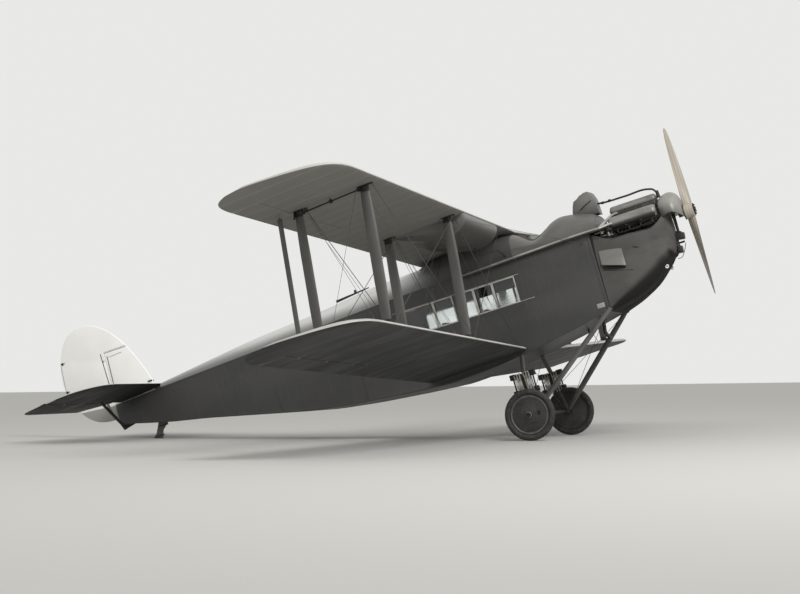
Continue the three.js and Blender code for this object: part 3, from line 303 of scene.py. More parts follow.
# %% Floor, surround and lamp
def add(kind, inputs, out=0, **settings):
    """One node in the tree in hand, and one of its outputs; inputs are values or outputs."""
    made = tree.nodes.new(kind)
    for name, value in settings.items():
        setattr(made, name, value)
    for name, value in inputs.items():
        if isinstance(value, bpy.types.NodeSocket):
            tree.links.new(value, made.inputs[name])
        else:
            made.inputs[name].default_value = value
    return made.outputs[out]


def blank(name):
    """A new material; its tree and its shader are then the ones in hand."""
    global tree, shader
    made = bpy.data.materials.new(name)
    made.use_nodes = True
    tree = made.node_tree
    shader = tree.nodes["Principled BSDF"].inputs
    return made


bpy.ops.mesh.primitive_plane_add(size=300)
floor = bpy.context.object
floor.name = "floor"
floor.data.materials.append(blank("matt_floor_paint"))
shader["Base Color"].default_value = colour("#b9b8b4")
shader["Roughness"].default_value = 0.95
floor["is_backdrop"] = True

world = bpy.data.worlds.new("studio")
bpy.context.scene.world = world
world.use_nodes = True
sky = world.node_tree.nodes["Background"].inputs
sky["Color"].default_value, sky["Strength"].default_value = colour("#eeeeec"), 0.95
bpy.context.scene.view_settings.view_transform = "Standard"

key = show("key", bpy.data.lights.new("key", "AREA"))
key.data.size, key.data.energy = 7, 2600
key.location = (14, -12, 16)
key.rotation_euler = (Vector((0, 0, 2.5)) - key.location).to_track_quat("-Z", "Y").to_euler()
print("lamps", len(bpy.data.lights))

# %% [markdown]
# ## Finishes
# The photograph is black and white, so the finishes are matched by brightness and kept near grey,
# with a little warmth. Nearly all of them are dope or paint on linen, ply or sheet metal. Each has
# a slow drift from fresh to faded, roughness that follows it, and a fine relief from the weave,
# grain or brush. Patterns read object coordinates, tipped back to the level aeroplane, so ribs,
# seams and oil streaks run along the real parts.

# %% Masks
def fade(value, start, full, kind="SMOOTHSTEP"):
    """A mask: 0 where a value is start, 1 where it is full."""
    spread = {"Value": value, "From Min": start, "From Max": full}
    return add("ShaderNodeMapRange", spread, interpolation_type=kind)


def blotches(size, stretch=(1, 1, 1), low=0.36, high=0.64, detail=4):
    """A soft pattern from 0 to 1 with blotches about size metres wide."""
    drawn = add("ShaderNodeMapping", {"Vector": place, "Scale": stretch})
    cloud = {"Vector": drawn, "Scale": 1 / size, "Detail": detail}
    return fade(add("ShaderNodeTexNoise", cloud), low, high)


def along(axis):
    """Metres along one axis of the level aeroplane."""
    return add("ShaderNodeSeparateXYZ", {0: place}, axis)


def stripes(axis, half_apart, half, soft):
    """Lines across an axis: 1 within half metres of each, fading over soft metres."""
    wave = add("ShaderNodeMath", {0: along(axis), 1: half_apart}, operation="PINGPONG")
    return fade(wave, half + soft, half)


def facing(start, full):
    """A mask by how far a surface faces up: 0 where that is start, 1 where it is full."""
    normal = add("ShaderNodeNewGeometry", {}, "Normal")
    return fade(add("ShaderNodeSeparateXYZ", {0: normal}, "Z"), start, full)


# %% Layers of a finish
def coat(name, fresh, faded, size, rough, stretch=(1, 1, 1), grain=0.004, depth=0.0004, metal=0):
    """Starts a finish that drifts between two colours, with a fine relief of grain metres."""
    global place, tint, raised
    made = blank(name)
    untip = {"Rotation": (0, PITCH, 0), "Location": -(Matrix.Rotation(PITCH, 3, "Y") @ SHIFT)}
    untip["Vector"] = add("ShaderNodeTexCoord", {}, "Object")
    place = add("ShaderNodeMapping", untip, vector_type="POINT")
    drift = blotches(size, stretch)
    tint = add("ShaderNodeMix", {0: drift, 6: colour(fresh), 7: colour(faded)}, 2, data_type="RGBA")
    tree.links.new(tint, shader["Base Color"])
    dull = {"Value": drift, "To Min": rough - 0.06, "To Max": rough + 0.08}
    tree.links.new(add("ShaderNodeMapRange", dull), shader["Roughness"])
    fine = blotches(grain, stretch, 0.2, 0.8, 2)
    raised = add("ShaderNodeBump", {"Height": fine, "Distance": depth, "Strength": 0.6})
    tree.links.new(raised, shader["Normal"])
    shader["Metallic"].default_value = metal
    return made


def over(mask, code, share=1.0):
    """Lays another colour over the finish where the mask is 1."""
    global tint
    part = add("ShaderNodeMath", {0: mask, 1: share}, operation="MULTIPLY")
    tint = add("ShaderNodeMix", {0: part, 6: tint, 7: colour(code)}, 2, data_type="RGBA")
    tree.links.new(tint, shader["Base Color"])


def relief(height, distance):
    """Raises the finish by distance metres where height is 1, over its fine relief."""
    bump = {"Height": height, "Distance": distance, "Normal": raised}
    tree.links.new(add("ShaderNodeBump", bump), shader["Normal"])


# %% [markdown]
# Doped linen is cloth shrunk tight over ribs. A tape is stuck along every rib, and the cloth dips
# between them: the dip is in the mesh, while the tape's colour and its raised edge are drawn here.
# The rib mask is a triangle wave across the span, cut off near its zero. Real threads are 0.5 mm
# apart; the weave is drawn at 5 mm so that it still shows from a few metres. The wings are silver
# dope on both sides, and painted shade darkens whatever faces down; the rib tapes show only in
# that shade, a little lighter than it. Where the silver meets the painted shade on the nose, it
# leaves a light line along the leading edge.

# %% Doped linen
RIB = 0.36


# Painted shade: what faces down takes the colour of its painted shade, and the rib tapes are drawn
# only there.
def doped_linen(name, fresh, faded, rough, shaded_tape, painted_shade):
    made = coat(name, fresh, faded, 0.9, rough, (1, 2.2, 1), 0.005, 0.0003)
    down = facing(0.05, -0.35)
    over(down, painted_shade)
    ribs = stripes("Y", RIB / 2, 0.018, 0.008)
    over(add("ShaderNodeMath", {0: ribs, 1: down}, operation="MULTIPLY"), shaded_tape, 0.5)
    over(blotches(0.35, (0.25, 6, 1), 0.5, 0.8), shaded_tape, 0.15)
    relief(ribs, 0.0012)
    shader["Specular IOR Level"].default_value = 0.4
    return made


# One silver dope for all three; the painted shade is far darker on the lower wing and tailplane
# than on the upper wing.
silver = "#b0afa9", "#bdbcb6", 0.55
upper_linen = doped_linen("doped_linen_upper_wing", *silver, "#8f8e8a", "#7b7a76")
lower_linen = doped_linen("doped_linen_lower_wing", *silver, "#373635", "#272726")
tail_linen = doped_linen("doped_linen_tailplane", *silver, "#2b2a29", "#1b1b1a")
white = "#f4f3f0", "#fbfaf8", 0.5, "#ffffff", "#f4f3f0"
white_linen = doped_linen("white_doped_linen", *white)

# %% [markdown]
# The rudder is white linen too, but its lowest part is grey, below a line that falls a little
# toward the hinge. The mask is the height above that line. The decking behind the cabin is linen
# over curved stringers, in aluminium dope: bright on the crown, and darkened down its sides by
# painted shade. Its fade follows the height above the lower edge, which slopes down to the
# tail. Toward the front, where it runs on as the roof under the wing, painted shade turns the same
# dope dark.

# %% Rudder and decking
rudder_linen = doped_linen("white_and_grey_rudder_linen", *white)
height = {0: along("X"), 1: 0.0794, 2: along("Z")}
height = add("ShaderNodeMath", height, operation="MULTIPLY_ADD")
over(fade(height, -1.048, -1.058, "LINEAR"), "#a3a29e")
silver_dope = "#b6b6b3", "#c9c9c6", 0.8, 0.42
decking = coat("aluminium_doped_linen", *silver_dope, (0.5, 2, 1), 0.005, 0.0003)
height = {0: along("X"), 1: -0.028, 2: along("Z")}
height = add("ShaderNodeMath", height, operation="MULTIPLY_ADD")
# Painted shade: darker down the sides, away from the crown.
over(fade(height, 0.33, 0.14), "#636360", 0.8)
# Painted shade: dark toward the front, where the roof lies under the wing.
over(fade(along("X"), -4.8, -4.1), "#3d3c3a", 0.95)

# %% [markdown]
# The cabin and the rear fuselage are boxes of thin plywood, painted dark. The paint shows long
# grain, taped joints every 1.22 m, rain streaks down the sides and rubbing along the lower edge.

# %% Painted plywood
ply_paint = coat("painted_plywood", "#373735", "#41403e", 0.7, 0.48, (0.35, 1, 1))
joints = stripes("X", 0.61, 0.022, 0.006)
over(joints, "#4a4947", 0.08)
over(blotches(0.22, (4, 1, 0.35), 0.52, 0.75), "#555450", 0.2)
over(blotches(0.05, (1, 1, 1), 0.66, 0.72, 2), "#6b6963", 0.15)
relief(joints, 0.0006)

# %% [markdown]
# Sheet metal round the engine is hand beaten and painted. It is smoother than linen, a little
# lighter, gently wavy from the hammer, and streaked by oil that the air draws backwards. Where it
# faces the ground, painted shade darkens it.

# %% Beaten and painted sheet
# Painted shade: what faces down is darkened to one colour, starting at the facing given by start.
def beaten_sheet(
    name, fresh, faded, rough, oil, wave=0.0025, painted_shade="#191817", gloss=0.5, start=0.08
):
    made = coat(name, fresh, faded, 0.45, rough, (0.5, 1, 1), 0.02, 0.0002)
    over(blotches(0.2, (0.3, 1.4, 1.5), 0.5, 0.8), "#2a2927", oil)
    over(facing(start, -0.45), painted_shade, 0.9)
    relief(blotches(0.16, (1, 1, 1), 0.2, 0.8, 1), wave)
    shader["Specular IOR Level"].default_value = gloss
    return made


# The darkest colour in the cowl, casing and tank finishes is their painted shade, on what faces
# down.
cowl = "#514f4d", "#5b5a57", 0.55, 0.3, 0.0025, "#262524", 0.02
cowl_sheet = beaten_sheet("painted_cowl_sheet", *cowl)
hood_sheet = beaten_sheet("painted_hood_sheet", "#555450", "#615f5b", 0.42, 0.15)
# The gear casing's painted shade begins on surfaces that still face well up, so it darkens most of
# the dome.
casing = "#84827d", "#96948e", 0.34, 0.15, 0.001, "#282725", 0.5, 0.7
gear_sheet = beaten_sheet("painted_gear_casing", *casing)
tank_sheet = beaten_sheet("painted_tank_sheet", "#6f6e6b", "#7c7b77", 0.4, 0.2, 0.0025, "#4d4c4a")
vent_sheet = beaten_sheet("bright_vent_sheet", "#6a6965", "#76756f", 0.4, 0.15)
header_sheet = beaten_sheet("header_tank_sheet", "#5f5e5b", "#6c6b67", 0.4, 0.2)

# %% [markdown]
# The struts are spruce, planed to a streamline section and painted over a linen wrapping, whose
# turns show as faint rings 25 mm apart. Metals keep the default IOR. Steel fittings are
# blackened, stays are dull drawn wire, the exhaust is scaled by heat, and the engine's castings
# are dull aluminium with oily corners. On the exhaust and the bank covers, painted shade darkens
# whatever faces down.

# %% Wrapped spruce and metals
strut_wood = coat("painted_spruce", "#4b4a47", "#585753", 0.3, 0.38, (1, 1, 0.3), 0.003, 0.0003)
rings = stripes("Z", 0.0125, 0.001, 0.002)
over(rings, "#4d4c49", 0.35)
relief(rings, -0.0004)
black_steel = coat("blackened_steel", "#2c2b2a", "#3b3a38", 0.08, 0.45, metal=0.6)
wire_steel = coat("drawn_steel_wire", "#53524e", "#63625e", 0.2, 0.4, metal=0.8)
scaled = "#93918c", "#a5a39d", 0.12, 0.42, (0.4, 1, 1), 0.006, 0.0006, 0.4
hot_steel = coat("heat_scaled_steel", *scaled)
over(blotches(0.07, (0.5, 1, 1), 0.52, 0.66), "#5c5149", 0.5)
# Painted shade on the underside of the exhaust.
over(facing(0.35, -0.35), "#1c1b1a", 0.85)
cast = "#8b8a86", "#7a7974", 0.15, 0.44, (0.6, 1, 1), 0.004, 0.0004, 0.45
bright_casting = coat("cast_aluminium_covers", *cast)
over(blotches(0.06, (0.5, 1, 1), 0.55, 0.7), "#4a4845", 0.4)
# Painted shade on the undersides of the covers.
over(facing(0.15, -0.5), "#1b1a19", 0.85)
oily = "#33322f", "#403f3b", 0.12, 0.5, (1, 1, 1), 0.005, 0.0006, 0.3
dark_casting = coat("oily_cast_block", *oily)
brass = coat("dull_brass", "#8f8468", "#7c7159", 0.05, 0.4, metal=0.8)

# %% [markdown]
# The propeller is glued up from layers of wood about 20 mm thick. Where the twisted blade cuts
# through the layers, they show as curved lines. Inside are varnished wood, wicker seats and a
# leather rim. Wicker is a weave of willow rods: two crossed waves make its over and under.

# %% Wood, wicker and leather
laminated = coat("laminated_walnut", "#9b9385", "#ada597", 0.25, 0.3, (1, 1, 0.2), 0.002, 0.0002)
over(stripes("X", 0.02, 0.006, 0.005), "#7b7368", 0.35)
shader["Coat Weight"].default_value = 0.35
shader["Coat Roughness"].default_value = 0.2
cabin_wood = coat("varnished_cabin_wood", "#7a6f60", "#8a7e6c", 0.3, 0.35, (0.3, 1, 1))
leather = coat("padded_leather", "#35312d", "#433e38", 0.12, 0.5, (1, 1, 1), 0.006, 0.0008)
wicker = coat("woven_wicker", "#8d8167", "#9d9177", 0.15, 0.55, (1, 1, 1), 0.003)
woven = {"Vector": place, "Scale": 14, "Distortion": 0.6}
waves = [add("ShaderNodeTexWave", woven, 1, bands_direction=axis) for axis in "YZ"]
cross = add("ShaderNodeMath", {0: waves[0], 1: waves[1]}, operation="MULTIPLY")
over(cross, "#544b3a", 0.6)
relief(cross, 0.004)

# %% [markdown]
# The tyres are grey rubber with dust worked into the tread. The wheels are wire wheels behind
# linen discs, painted like the rest. Rubber cord in a cotton braid springs the axle: darker
# threads cross on it. Old window glass is thin and slightly wavy. A fully clear pane would
# vanish, so the pane lets light through, keeps a gloss, and has a faint ripple.

# %% Rubber, disc linen, cord and glass
rubber = "#262524", "#363431", 0.09, 0.75, (1, 1, 1), 0.003, 0.0006
tyre_rubber = coat("dusty_tyre_rubber", *rubber)
over(blotches(0.05, (1, 3, 1), 0.48, 0.68), "#5f5b54", 0.3)
disc_linen = coat("doped_disc_linen", "#2c2b2a", "#373635", 0.2, 0.5)
over(blotches(0.08, (1, 1, 1), 0.55, 0.72), "#57534c", 0.25)
cotton = "#8b8981", "#a09e95", 0.05, 0.7, (1, 1, 1), 0.002, 0.0006
braid = coat("braided_rubber_cord", *cotton)
threads = {"Vector": place, "Scale": 60, "Distortion": 1.0}
over(add("ShaderNodeTexWave", threads, 1, bands_direction="DIAGONAL"), "#5a5853", 0.4)
pale = "#b5b3ad", "#a3a19b", 0.1, 0.45, (0.3, 1, 1), 0.003
window_wood = coat("varnished_window_wood", *pale)
grey_panel = coat("grey_enamel_panel", "#8f8e8a", "#9b9a96", 0.1, 0.5)
rim_paint = coat("painted_wheel_rim", "#504f4c", "#5c5b58", 0.1, 0.5)
# Matt black for a seam, and painted shadow for the outlet mouths, the firewall gap and the valve
# holes.
seam_and_shadow_black = coat("matt_black_paint", "#0f0f0e", "#171615", 0.05, 0.8)
ring_white = coat("chalky_white_enamel", "#f2f1ee", "#dedcd6", 0.02, 0.5)
clear = "#f6f9f8", "#edf1f0", 0.3, 0.06, (1, 1, 1), 0.12, 0.0003
pane_glass = coat("drawn_cabin_glass", *clear)
shader["Transmission Weight"].default_value = 1.0
shader["IOR"].default_value = 1.5
print(len(bpy.data.materials), "finishes")

# %% Finishes of the CAD nodes that stay
for finish, names in (
    (ply_paint, "fuselage_side_port fuselage_side_starboard cabin_door fuselage_floor"),
    (ply_paint, "rear_fuselage engine_bulkhead"),
    (pane_glass, "window_glass_port window_glass_starboard"),
    (cabin_wood, "cockpit_floor cabin_bulkhead"),
    (wicker, "cockpit_seat cabin_seats"),
    (strut_wood, "aileron_link_port aileron_link_starboard"),
    (wire_steel, "front_stays_port front_stays_starboard rear_stays_port rear_stays_starboard"),
):
    for name in names.split():
        for slot in nodes[name].material_slots:
            slot.material = finish
        print(name, "gets", finish.name)

# %% [markdown]
# ## Wings
# Each of the four panels is linen over ribs 0.36 m apart. It could be a simple loft, but real
# fabric dips a few millimetres between its ribs, and the light catches every one. So the panel
# is a grid with several rows per rib, bent round the wing section, and each row is lowered by the
# dip. The bay where the aileron works is cut by giving two rows at the same place a full and a
# shortened section, which leaves a clean end wall. Toward the tip the thinning section also
# rises, because the tip's bow lies above the chord line.

# %% Section and plan form of a wing
CHORD, SPAR_TO_NOSE, HINGE, TIP_RISE = 1.715, 0.233, -1.110, 0.075
TIP_START, HALF_SPAN = 6.9, 7.817
section = [(0, 0, 0), (0.02, 0.024, -0.012), (0.08, 0.044, -0.017), (0.2, 0.054, -0.014)]
section += [(0.4, 0.053, -0.008), (0.65, 0.037, -0.004), (0.85, 0.018, -0.002), (1, 0.001, 0.001)]
section_top, section_under = lines([(math.sqrt(b), t, u) for b, t, u in section])
tip = [(TIP_START, 0, 0, 1), (7.15, 0.015, 0, 0.98), (7.35, 0.065, 0, 0.92)]
tip += [(7.5, 0.155, 0.01, 0.8), (7.61, 0.29, 0.035, 0.66), (7.7, 0.53, 0.09, 0.48)]
tip += [(7.765, 0.79, 0.18, 0.34), (7.8, 0.98, 0.27, 0.24), (HALF_SPAN, 1.13, 0.4, 0.16)]
tip_lead, tip_trail, tip_depth = lines(tip)
BAY_BACK, BAY_IN, BAY_OUT = HINGE + 0.0312, 4.392, 7.158


def wing_edges(out):
    """The nose and tail of the section at a place along the span, and its depth."""
    nose, tail = SPAR_TO_NOSE, SPAR_TO_NOSE - CHORD
    if out <= TIP_START:
        return nose, tail, 1.0
    return nose - tip_lead(out), tail + tip_trail(out), tip_depth(out)


def wing_height(out, part, side, sag=0.0032):
    """The height of the cloth, with its dip between two ribs; side 1 is the top."""
    depth = wing_edges(out)[2]
    line = section_top if side > 0 else section_under
    dip = sag * math.sin(math.pi * out / RIB) ** 2 * min(part / 0.12, 1, (1 - part) / 0.08)
    height = line(math.sqrt(max(part, 0))) * CHORD * depth
    return height + TIP_RISE * (1 - depth) - side * dip * depth


def wing_point(u, out, short):
    """Once round the section: tail, top, nose, underside, tail. A short one ends at the bay."""
    a, side = abs(2 * u - 1), 1 if u < 0.5 else -1
    nose, tail, _ = wing_edges(out)
    bay = (nose - BAY_BACK) / (nose - tail) if out < BAY_OUT + 1e-4 else 0.765
    part = bay * (a / 0.75) ** 2 if a < 0.75 else bay + (1 - bay) * (a - 0.75) * 4
    if not short or a <= 0.75:
        return nose + (tail - nose) * part, out, wing_height(out, part, side)
    top, under = wing_height(out, bay, 1), wing_height(out, bay, -1)
    middle, edge = (top + under) / 2, top if side > 0 else under
    return BAY_BACK, out, edge + (middle - edge) * (a - 0.75) * 4


def wing_rows(root):
    """Places along the span: six to a rib, closer at the tip, doubled where the bay starts."""
    plain = list(np.arange(root, TIP_START, RIB / 6))
    plain += list(HALF_SPAN - (HALF_SPAN - TIP_START) * np.linspace(1, 0, 26) ** 2)
    rows = [(r, False) for r in plain if r < BAY_IN - 0.02] + [(BAY_IN, False), (BAY_IN, True)]
    rows += [(r, True) for r in plain if BAY_IN + 0.02 < r < BAY_OUT - 0.01]
    rows += [(BAY_OUT, True), (BAY_OUT, False)]
    return rows + [(r, False) for r in plain if r > BAY_OUT + 0.01]


def wing_place(x, z):
    """From a panel's own drawing to the level aeroplane: dihedral, then incidence."""
    return Matrix.Translation((x, 0, z)) @ turned(2.47, "X") @ turned(-2.96, "Y")


LOWER, UPPER = wing_place(-3.223, -1.496), wing_place(-3.030, 0.498)
PANELS = (("lower", LOWER, 0.6403, lower_linen), ("upper", UPPER, 0.00015, upper_linen))

# %% The four panels
for level, panel, root, finish in PANELS:
    loft(48, wing_rows(root), wing_point)
    names = f"{level}_wing_linen_*", finish, "wing_dope", f"{level}_wing_*"
    piece(*names, corner=30, turn=panel)

# %% [markdown]
# An aileron has a round nose that turns inside the wing's cut, and thins to the same tail edge.
# Where a hinge sits, the nose has a slot, made in the same way as the bay: rows doubled at one
# place. The hinges themselves are small lugs on the wing with a pin through them.

# %% Ailerons and their hinges
hinge_part = (SPAR_TO_NOSE - HINGE) / CHORD
hinge_top, hinge_under = wing_height(4.32, hinge_part, 1), wing_height(4.32, hinge_part, -1)
HINGE_Z, NOSE_R = (hinge_top + hinge_under) / 2, (hinge_top - hinge_under) / 2
AILERON_LUGS, HALF_SLOT, NOSE_BACK = (4.858, 5.775, 6.692), 0.0133, 0.026


def aileron_point(u, out, slotted):
    a, side = abs(2 * u - 1), 1 if u < 0.5 else -1
    nose, tail, _ = wing_edges(out)
    back = HINGE - NOSE_BACK
    behind = (nose - back) / (nose - tail)
    if a >= 0.35:
        part = behind + (1 - behind) * (a - 0.35) / 0.65
        return nose + (tail - nose) * part, out, wing_height(out, part, side)
    edge = wing_height(out, behind, side)
    if slotted:
        return back, out, HINGE_Z + (edge - HINGE_Z) * a / 0.35
    if a <= 0.28:
        turn = math.pi / 2 * a / 0.28
        return HINGE + NOSE_R * math.cos(turn), out, HINGE_Z + side * NOSE_R * math.sin(turn)
    share = (a - 0.28) / 0.07
    start = HINGE_Z + side * NOSE_R
    return HINGE - NOSE_BACK * share, out, start + (edge - start) * share


def with_slots(plain, lugs, clear):
    """Rows along a hinge line, doubled at both edges of a slot round each lug."""
    rows = [(r, False) for r in plain if min(abs(r - lug) for lug in lugs) > clear]
    for lug in lugs:
        low, high = lug - HALF_SLOT, lug + HALF_SLOT
        rows += [(low - 1e-6, False), (low, True), (high, True), (high + 1e-6, False)]
    return sorted(rows)


aileron_rows = with_slots([4.4, *np.arange(4.44, 7.13, RIB / 6), 7.15], AILERON_LUGS, 0.02)
for level, panel, _, finish in PANELS:
    loft(40, aileron_rows, aileron_point)
    for out in (4.9, 6.9):
        horn = [(-1.16, 0.02), (-1.20, 0.075), (-1.215, 0.075), (-1.26, 0.015)]
        sheet(horn, out - 0.004, out + 0.004, 0.001, 1)
    names = f"{level}_aileron_linen_*", finish, "wing_dope", f"{level}_aileron_*"
    piece(*names, body=f"{level}_aileron_*", corner=35, turn=panel)
    for out in AILERON_LUGS:
        low, high = out - 0.013, out + 0.013
        lug = (BAY_BACK - 0.004, low, HINGE_Z - 0.010), (BAY_BACK + 0.03, high, HINGE_Z + 0.010)
        brick(*lug, 0.002)
        rod((HINGE, low, HINGE_Z), (HINGE, high, HINGE_Z), 0.012, sides=16)
        brick((HINGE, out - 0.010, HINGE_Z - 0.007), (BAY_BACK, out + 0.010, HINGE_Z + 0.007))
    piece(f"{level}_aileron_hinges_*", black_steel, "dark_steel", turn=panel)

# %% [markdown]
# ## Struts and rigging wires
# Eight struts hold the upper wing over the lower one. Each is a long streamlined bar that thins
# towards both ends, where a metal shoe grips it. The section is a smooth loop; its chord lies
# fore and aft along the whole strut, so only its size changes on the way up.

# %% The struts between the wings
profile = [(0.5, 0), (0.42, 0.3), (0.2, 0.5), (-0.1, 0.46), (-0.35, 0.23), (-0.5, 0)]
stream = curve((0, 0.1, 0.28, 0.5, 0.75, 1), profile)


def streamlined(foot, head, chord, thick, ends=0.7, steps=30, around=28):
    """A bar of streamline section; ends is the share of its size left at each end."""
    foot, head = Vector(foot), Vector(head)
    way = (head - foot).normalized()
    fore = (Vector((1, 0, 0)) - way * way.x).normalized()
    side = way.cross(fore)

    def place(u, v):
        w = 2 * u - 1
        c, t = stream(abs(w))
        full = ends + (1 - ends) * min(1, math.sin(math.pi * v) ** 0.6 * 1.12)
        lean = fore * c * chord * full + side * math.copysign(t, w) * thick * full
        return foot.lerp(head, v) + lean

    skin(around, steps, place)


STRUTS = (
    ("inner_front", 0, 2.85, 0.165, 0.058),
    ("inner_rear", 0.994, 2.85, 0.16, 0.056),
    ("outer_front", 0, 6.14, 0.162, 0.054),
    ("outer_rear", 0.994, 6.14, 0.145, 0.048),
)


def strut_ends(back, out):
    """Foot and head of a strut on the cloth of the wings, and the way from one to the other."""
    part = (SPAR_TO_NOSE + back) / CHORD
    foot = at(LOWER, -back, out, wing_height(out, part, 1, 0))
    head = at(UPPER, -back, out, wing_height(out, part, -1, 0))
    return foot, head, (head - foot).normalized()


for name, back, out, chord, thick in STRUTS:
    foot, head, way = strut_ends(back, out)
    streamlined(foot - way * 0.004, head + way * 0.004, chord, thick)
    piece(f"spruce_strut_{name}_*", strut_wood, "strut_paint", f"strut_{name}_*")
for _, back, out, chord, thick in STRUTS:
    foot, head, way = strut_ends(back, out)
    for end, into in ((foot, way), (head, -way)):
        streamlined(end - into * 0.006, end + into * 0.085, chord * 0.8, thick * 0.86, 1, 1)
        middle, pin = end + into * 0.012, Vector((0, 0.05, 0))
        rod(middle - pin, middle + pin, 0.013)
        flange = Vector((chord * 0.55, 0.045, 0.004))
        brick(end - flange, end + flange, 0.002)
piece("strut_shoes_*", black_steel, "dark_steel")

# %% [markdown]
# Besides the main stays, the bays are braced from front to rear, and more wires cross in each
# bay. They are thin: 5 mm streamlined wire with a fork and a turnbuckle at the lower end.
# Under the upper wing a thin rod runs between the heads of the outer struts: it carries the
# pulleys of the aileron control.

# %% Cross wires and control rods
def wire(start, end, radius=0.0028, sides=6):
    start, end = Vector(start), Vector(end)
    rod(start, end, radius, sides=sides)
    way = (end - start).normalized()
    rod(start + way * 0.05, start + way * 0.22, radius * 2.3, sides=8)
    rod(start, start + way * 0.05, radius * 1.6, sides=6)


ON_TOP, BELOW = 0.05 * CHORD, -0.012 * CHORD
for out in (2.85, 6.14):
    for first, second in ((0.11, 0.884), (0.884, 0.11)):
        wire(at(LOWER, -first, out, ON_TOP), at(UPPER, -second, out, BELOW))
for back in (0.06, 0.934):
    wire(at(LOWER, -back, 0.68, ON_TOP), at(UPPER, -back, 2.8, BELOW))
    wire(at(LOWER, -back, 2.91, ON_TOP), at(UPPER, -back, 6.08, BELOW))
wire((-1.62, 0.57, -0.12), at(UPPER, 0, 2.85, -0.014 * CHORD))
wire(at(LOWER, -1, 2.95, 0.06), at(LOWER, -1.208, 4.9, 0.075) - Vector((0, 0.02, 0)), 0.002)
piece("rigging_wires_*", wire_steel, "stay_steel")
front, back = at(UPPER, -0.09, 6.14, -0.055), at(UPPER, -0.93, 6.14, -0.055)
rod(front, back, 0.011)
for share in (0.0, 0.5, 1.0):
    here, pin = front.lerp(back, share), Vector((0, 0.008, 0))
    rod(here, here + Vector((0, 0, 0.062)), 0.008)
    rod(here - pin, here + pin, 0.028, sides=20)
rod(at(UPPER, -1.05, 6.14, 0), at(UPPER, -1.068, 6.18, -0.02) - Vector((0, 0, 0.09)), 0.012)
piece("aileron_control_rod_*", black_steel, "dark_steel")

# %% [markdown]
# A fuel tank hangs under each upper wing. It is a sheet metal box with a deep rounded nose and a
# belly that sweeps up to the rear, with swaged bands round it. The side outline is drawn once and
# lofted along the span, and the ends are pulled in a little so that its corners are round.

# %% Fuel tanks
belly = [(0.221, 0.004), (0.214, -0.07), (0.15, -0.175), (0.0, -0.258)]
belly += [(-0.2, -0.272), (-0.47, -0.205), (-0.8, -0.075), (-0.975, 0.004)]
tank_line = curve((0, 0.08, 0.2, 0.34, 0.5, 0.68, 0.86, 1), belly)
TANK_MIDDLE, TANK_TOP, TANK_SPAN = -0.38, 0.004, 1.72


def tank_place(u, v):
    edge = min(v, 1 - v) * TANK_SPAN
    full = 1 - 0.5 * max(0, 1 - edge / 0.09) ** 2.5
    bands = 0.006 * max(0, 1 - min(abs(v - k) for k in (0.04, 0.35, 0.65, 0.96)) / 0.012)
    if u < 0.8:
        x, z = tank_line(u / 0.8)
        z = TANK_TOP + (z - TANK_TOP) * full - bands
    else:
        x, z = -0.975 + (u - 0.8) / 0.2 * 1.196, TANK_TOP
    x = TANK_MIDDLE + (x - TANK_MIDDLE) * (0.93 + 0.07 * full)
    return at(UPPER, x, 0.96 + TANK_SPAN * v, z)


skin(50, 100, tank_place)
piece("sheet_fuel_tank_*", tank_sheet, "tank_paint", "fuel_tank_*")
filler = at(UPPER, -0.1, 2.62, -0.12)
rod(filler, filler + Vector((0, 0.07, -0.02)), 0.035, 0.03, sides=20)
drain = at(UPPER, -0.18, 1.2, -0.262)
rod(drain, drain - Vector((0, 0, 0.05)), 0.018, 0.012)
pipe = [drain, drain - Vector((0, 0.02, 0.08)), (-2.95, 0.75, 0.17), (-2.9, 0.62, 0.06)]
tube(pipe, 0.009, 8, 24, up=(1, 0, 0))
piece("fuel_tank_fittings_*", black_steel, "dark_steel")


# %% [markdown]
# ## Fuselage
# The boxes of the cabin and tail keep their CAD meshes: flat plywood is what they are. The arched
# parts on top are drawn again, smooth. Each is a run of arches: a superellipse whose roundness,
# height and width change along the length, closed underneath by its flat edge.

# %% Decking and roof as runs of arches
def straight(table):
    """A line with straight pieces through a table of x and a height or a width."""
    xs, values = zip(*sorted(table))
    return lambda x: np.interp(x, xs, values)


longeron = straight([(-1.5, 0.03), (-4.515, 0.0), (-9.83, -0.15), (-10.82, -0.185)])
plan_half = straight([(-1.5, 0.58), (-2.8, 0.64), (-5, 0.64), (-7.5, 0.43), (-10.82, 0.045)])


def arch_point(x, share, rise, power, thin=0.0):
    """A point of an arch, share 0 to 1 from starboard to port, thin metres inside it."""
    angle = math.pi * (1 - share)
    y = (plan_half(x) - thin) * squarer(math.cos(angle), 2 / power)
    return x, y, longeron(x) + 0.0003 + (rise - thin) * max(math.sin(angle), 0) ** (2 / power)


def arches(table, steps):
    """A run of arches over a flat underside, from a table of x, rise and roundness."""
    rise, power = lines(table)
    first, last = table[0][0], table[-1][0]

    def place(u, v):
        x = first + (last - first) * v
        if u <= 0.8:
            return arch_point(x, u / 0.8, rise(x), power(x))
        share = 1 - (u - 0.8) / 0.2
        return x, plan_half(x) * (2 * share - 1), longeron(x) + 0.0003

    skin(60, steps, place)


turtle = [(-4.52, 0.395, 2.4), (-5.57, 0.385, 2), (-6.14, 0.335, 2), (-7.99, 0.245, 2)]
arches([*turtle, (-9.8, 0.095, 2)], 88)
piece("turtledeck_linen", decking, "silver_dope", "turtledeck")
arches([(-2.79, 0.43, 3), (-3.1, 0.48, 3.4), (-4.2, 0.45, 3.2), (-4.52, 0.395, 2.4)], 30)
piece("cabin_roof", decking, "body_paint", "wing_root_fairing")

# %% [markdown]
# The coaming round the open cockpit is a hood of sheet metal. It is a shell: the same arch twice,
# the second 10 mm inside the first. The opening is cut down through it with a tall oval block,
# and a padded leather roll covers the raw edge.

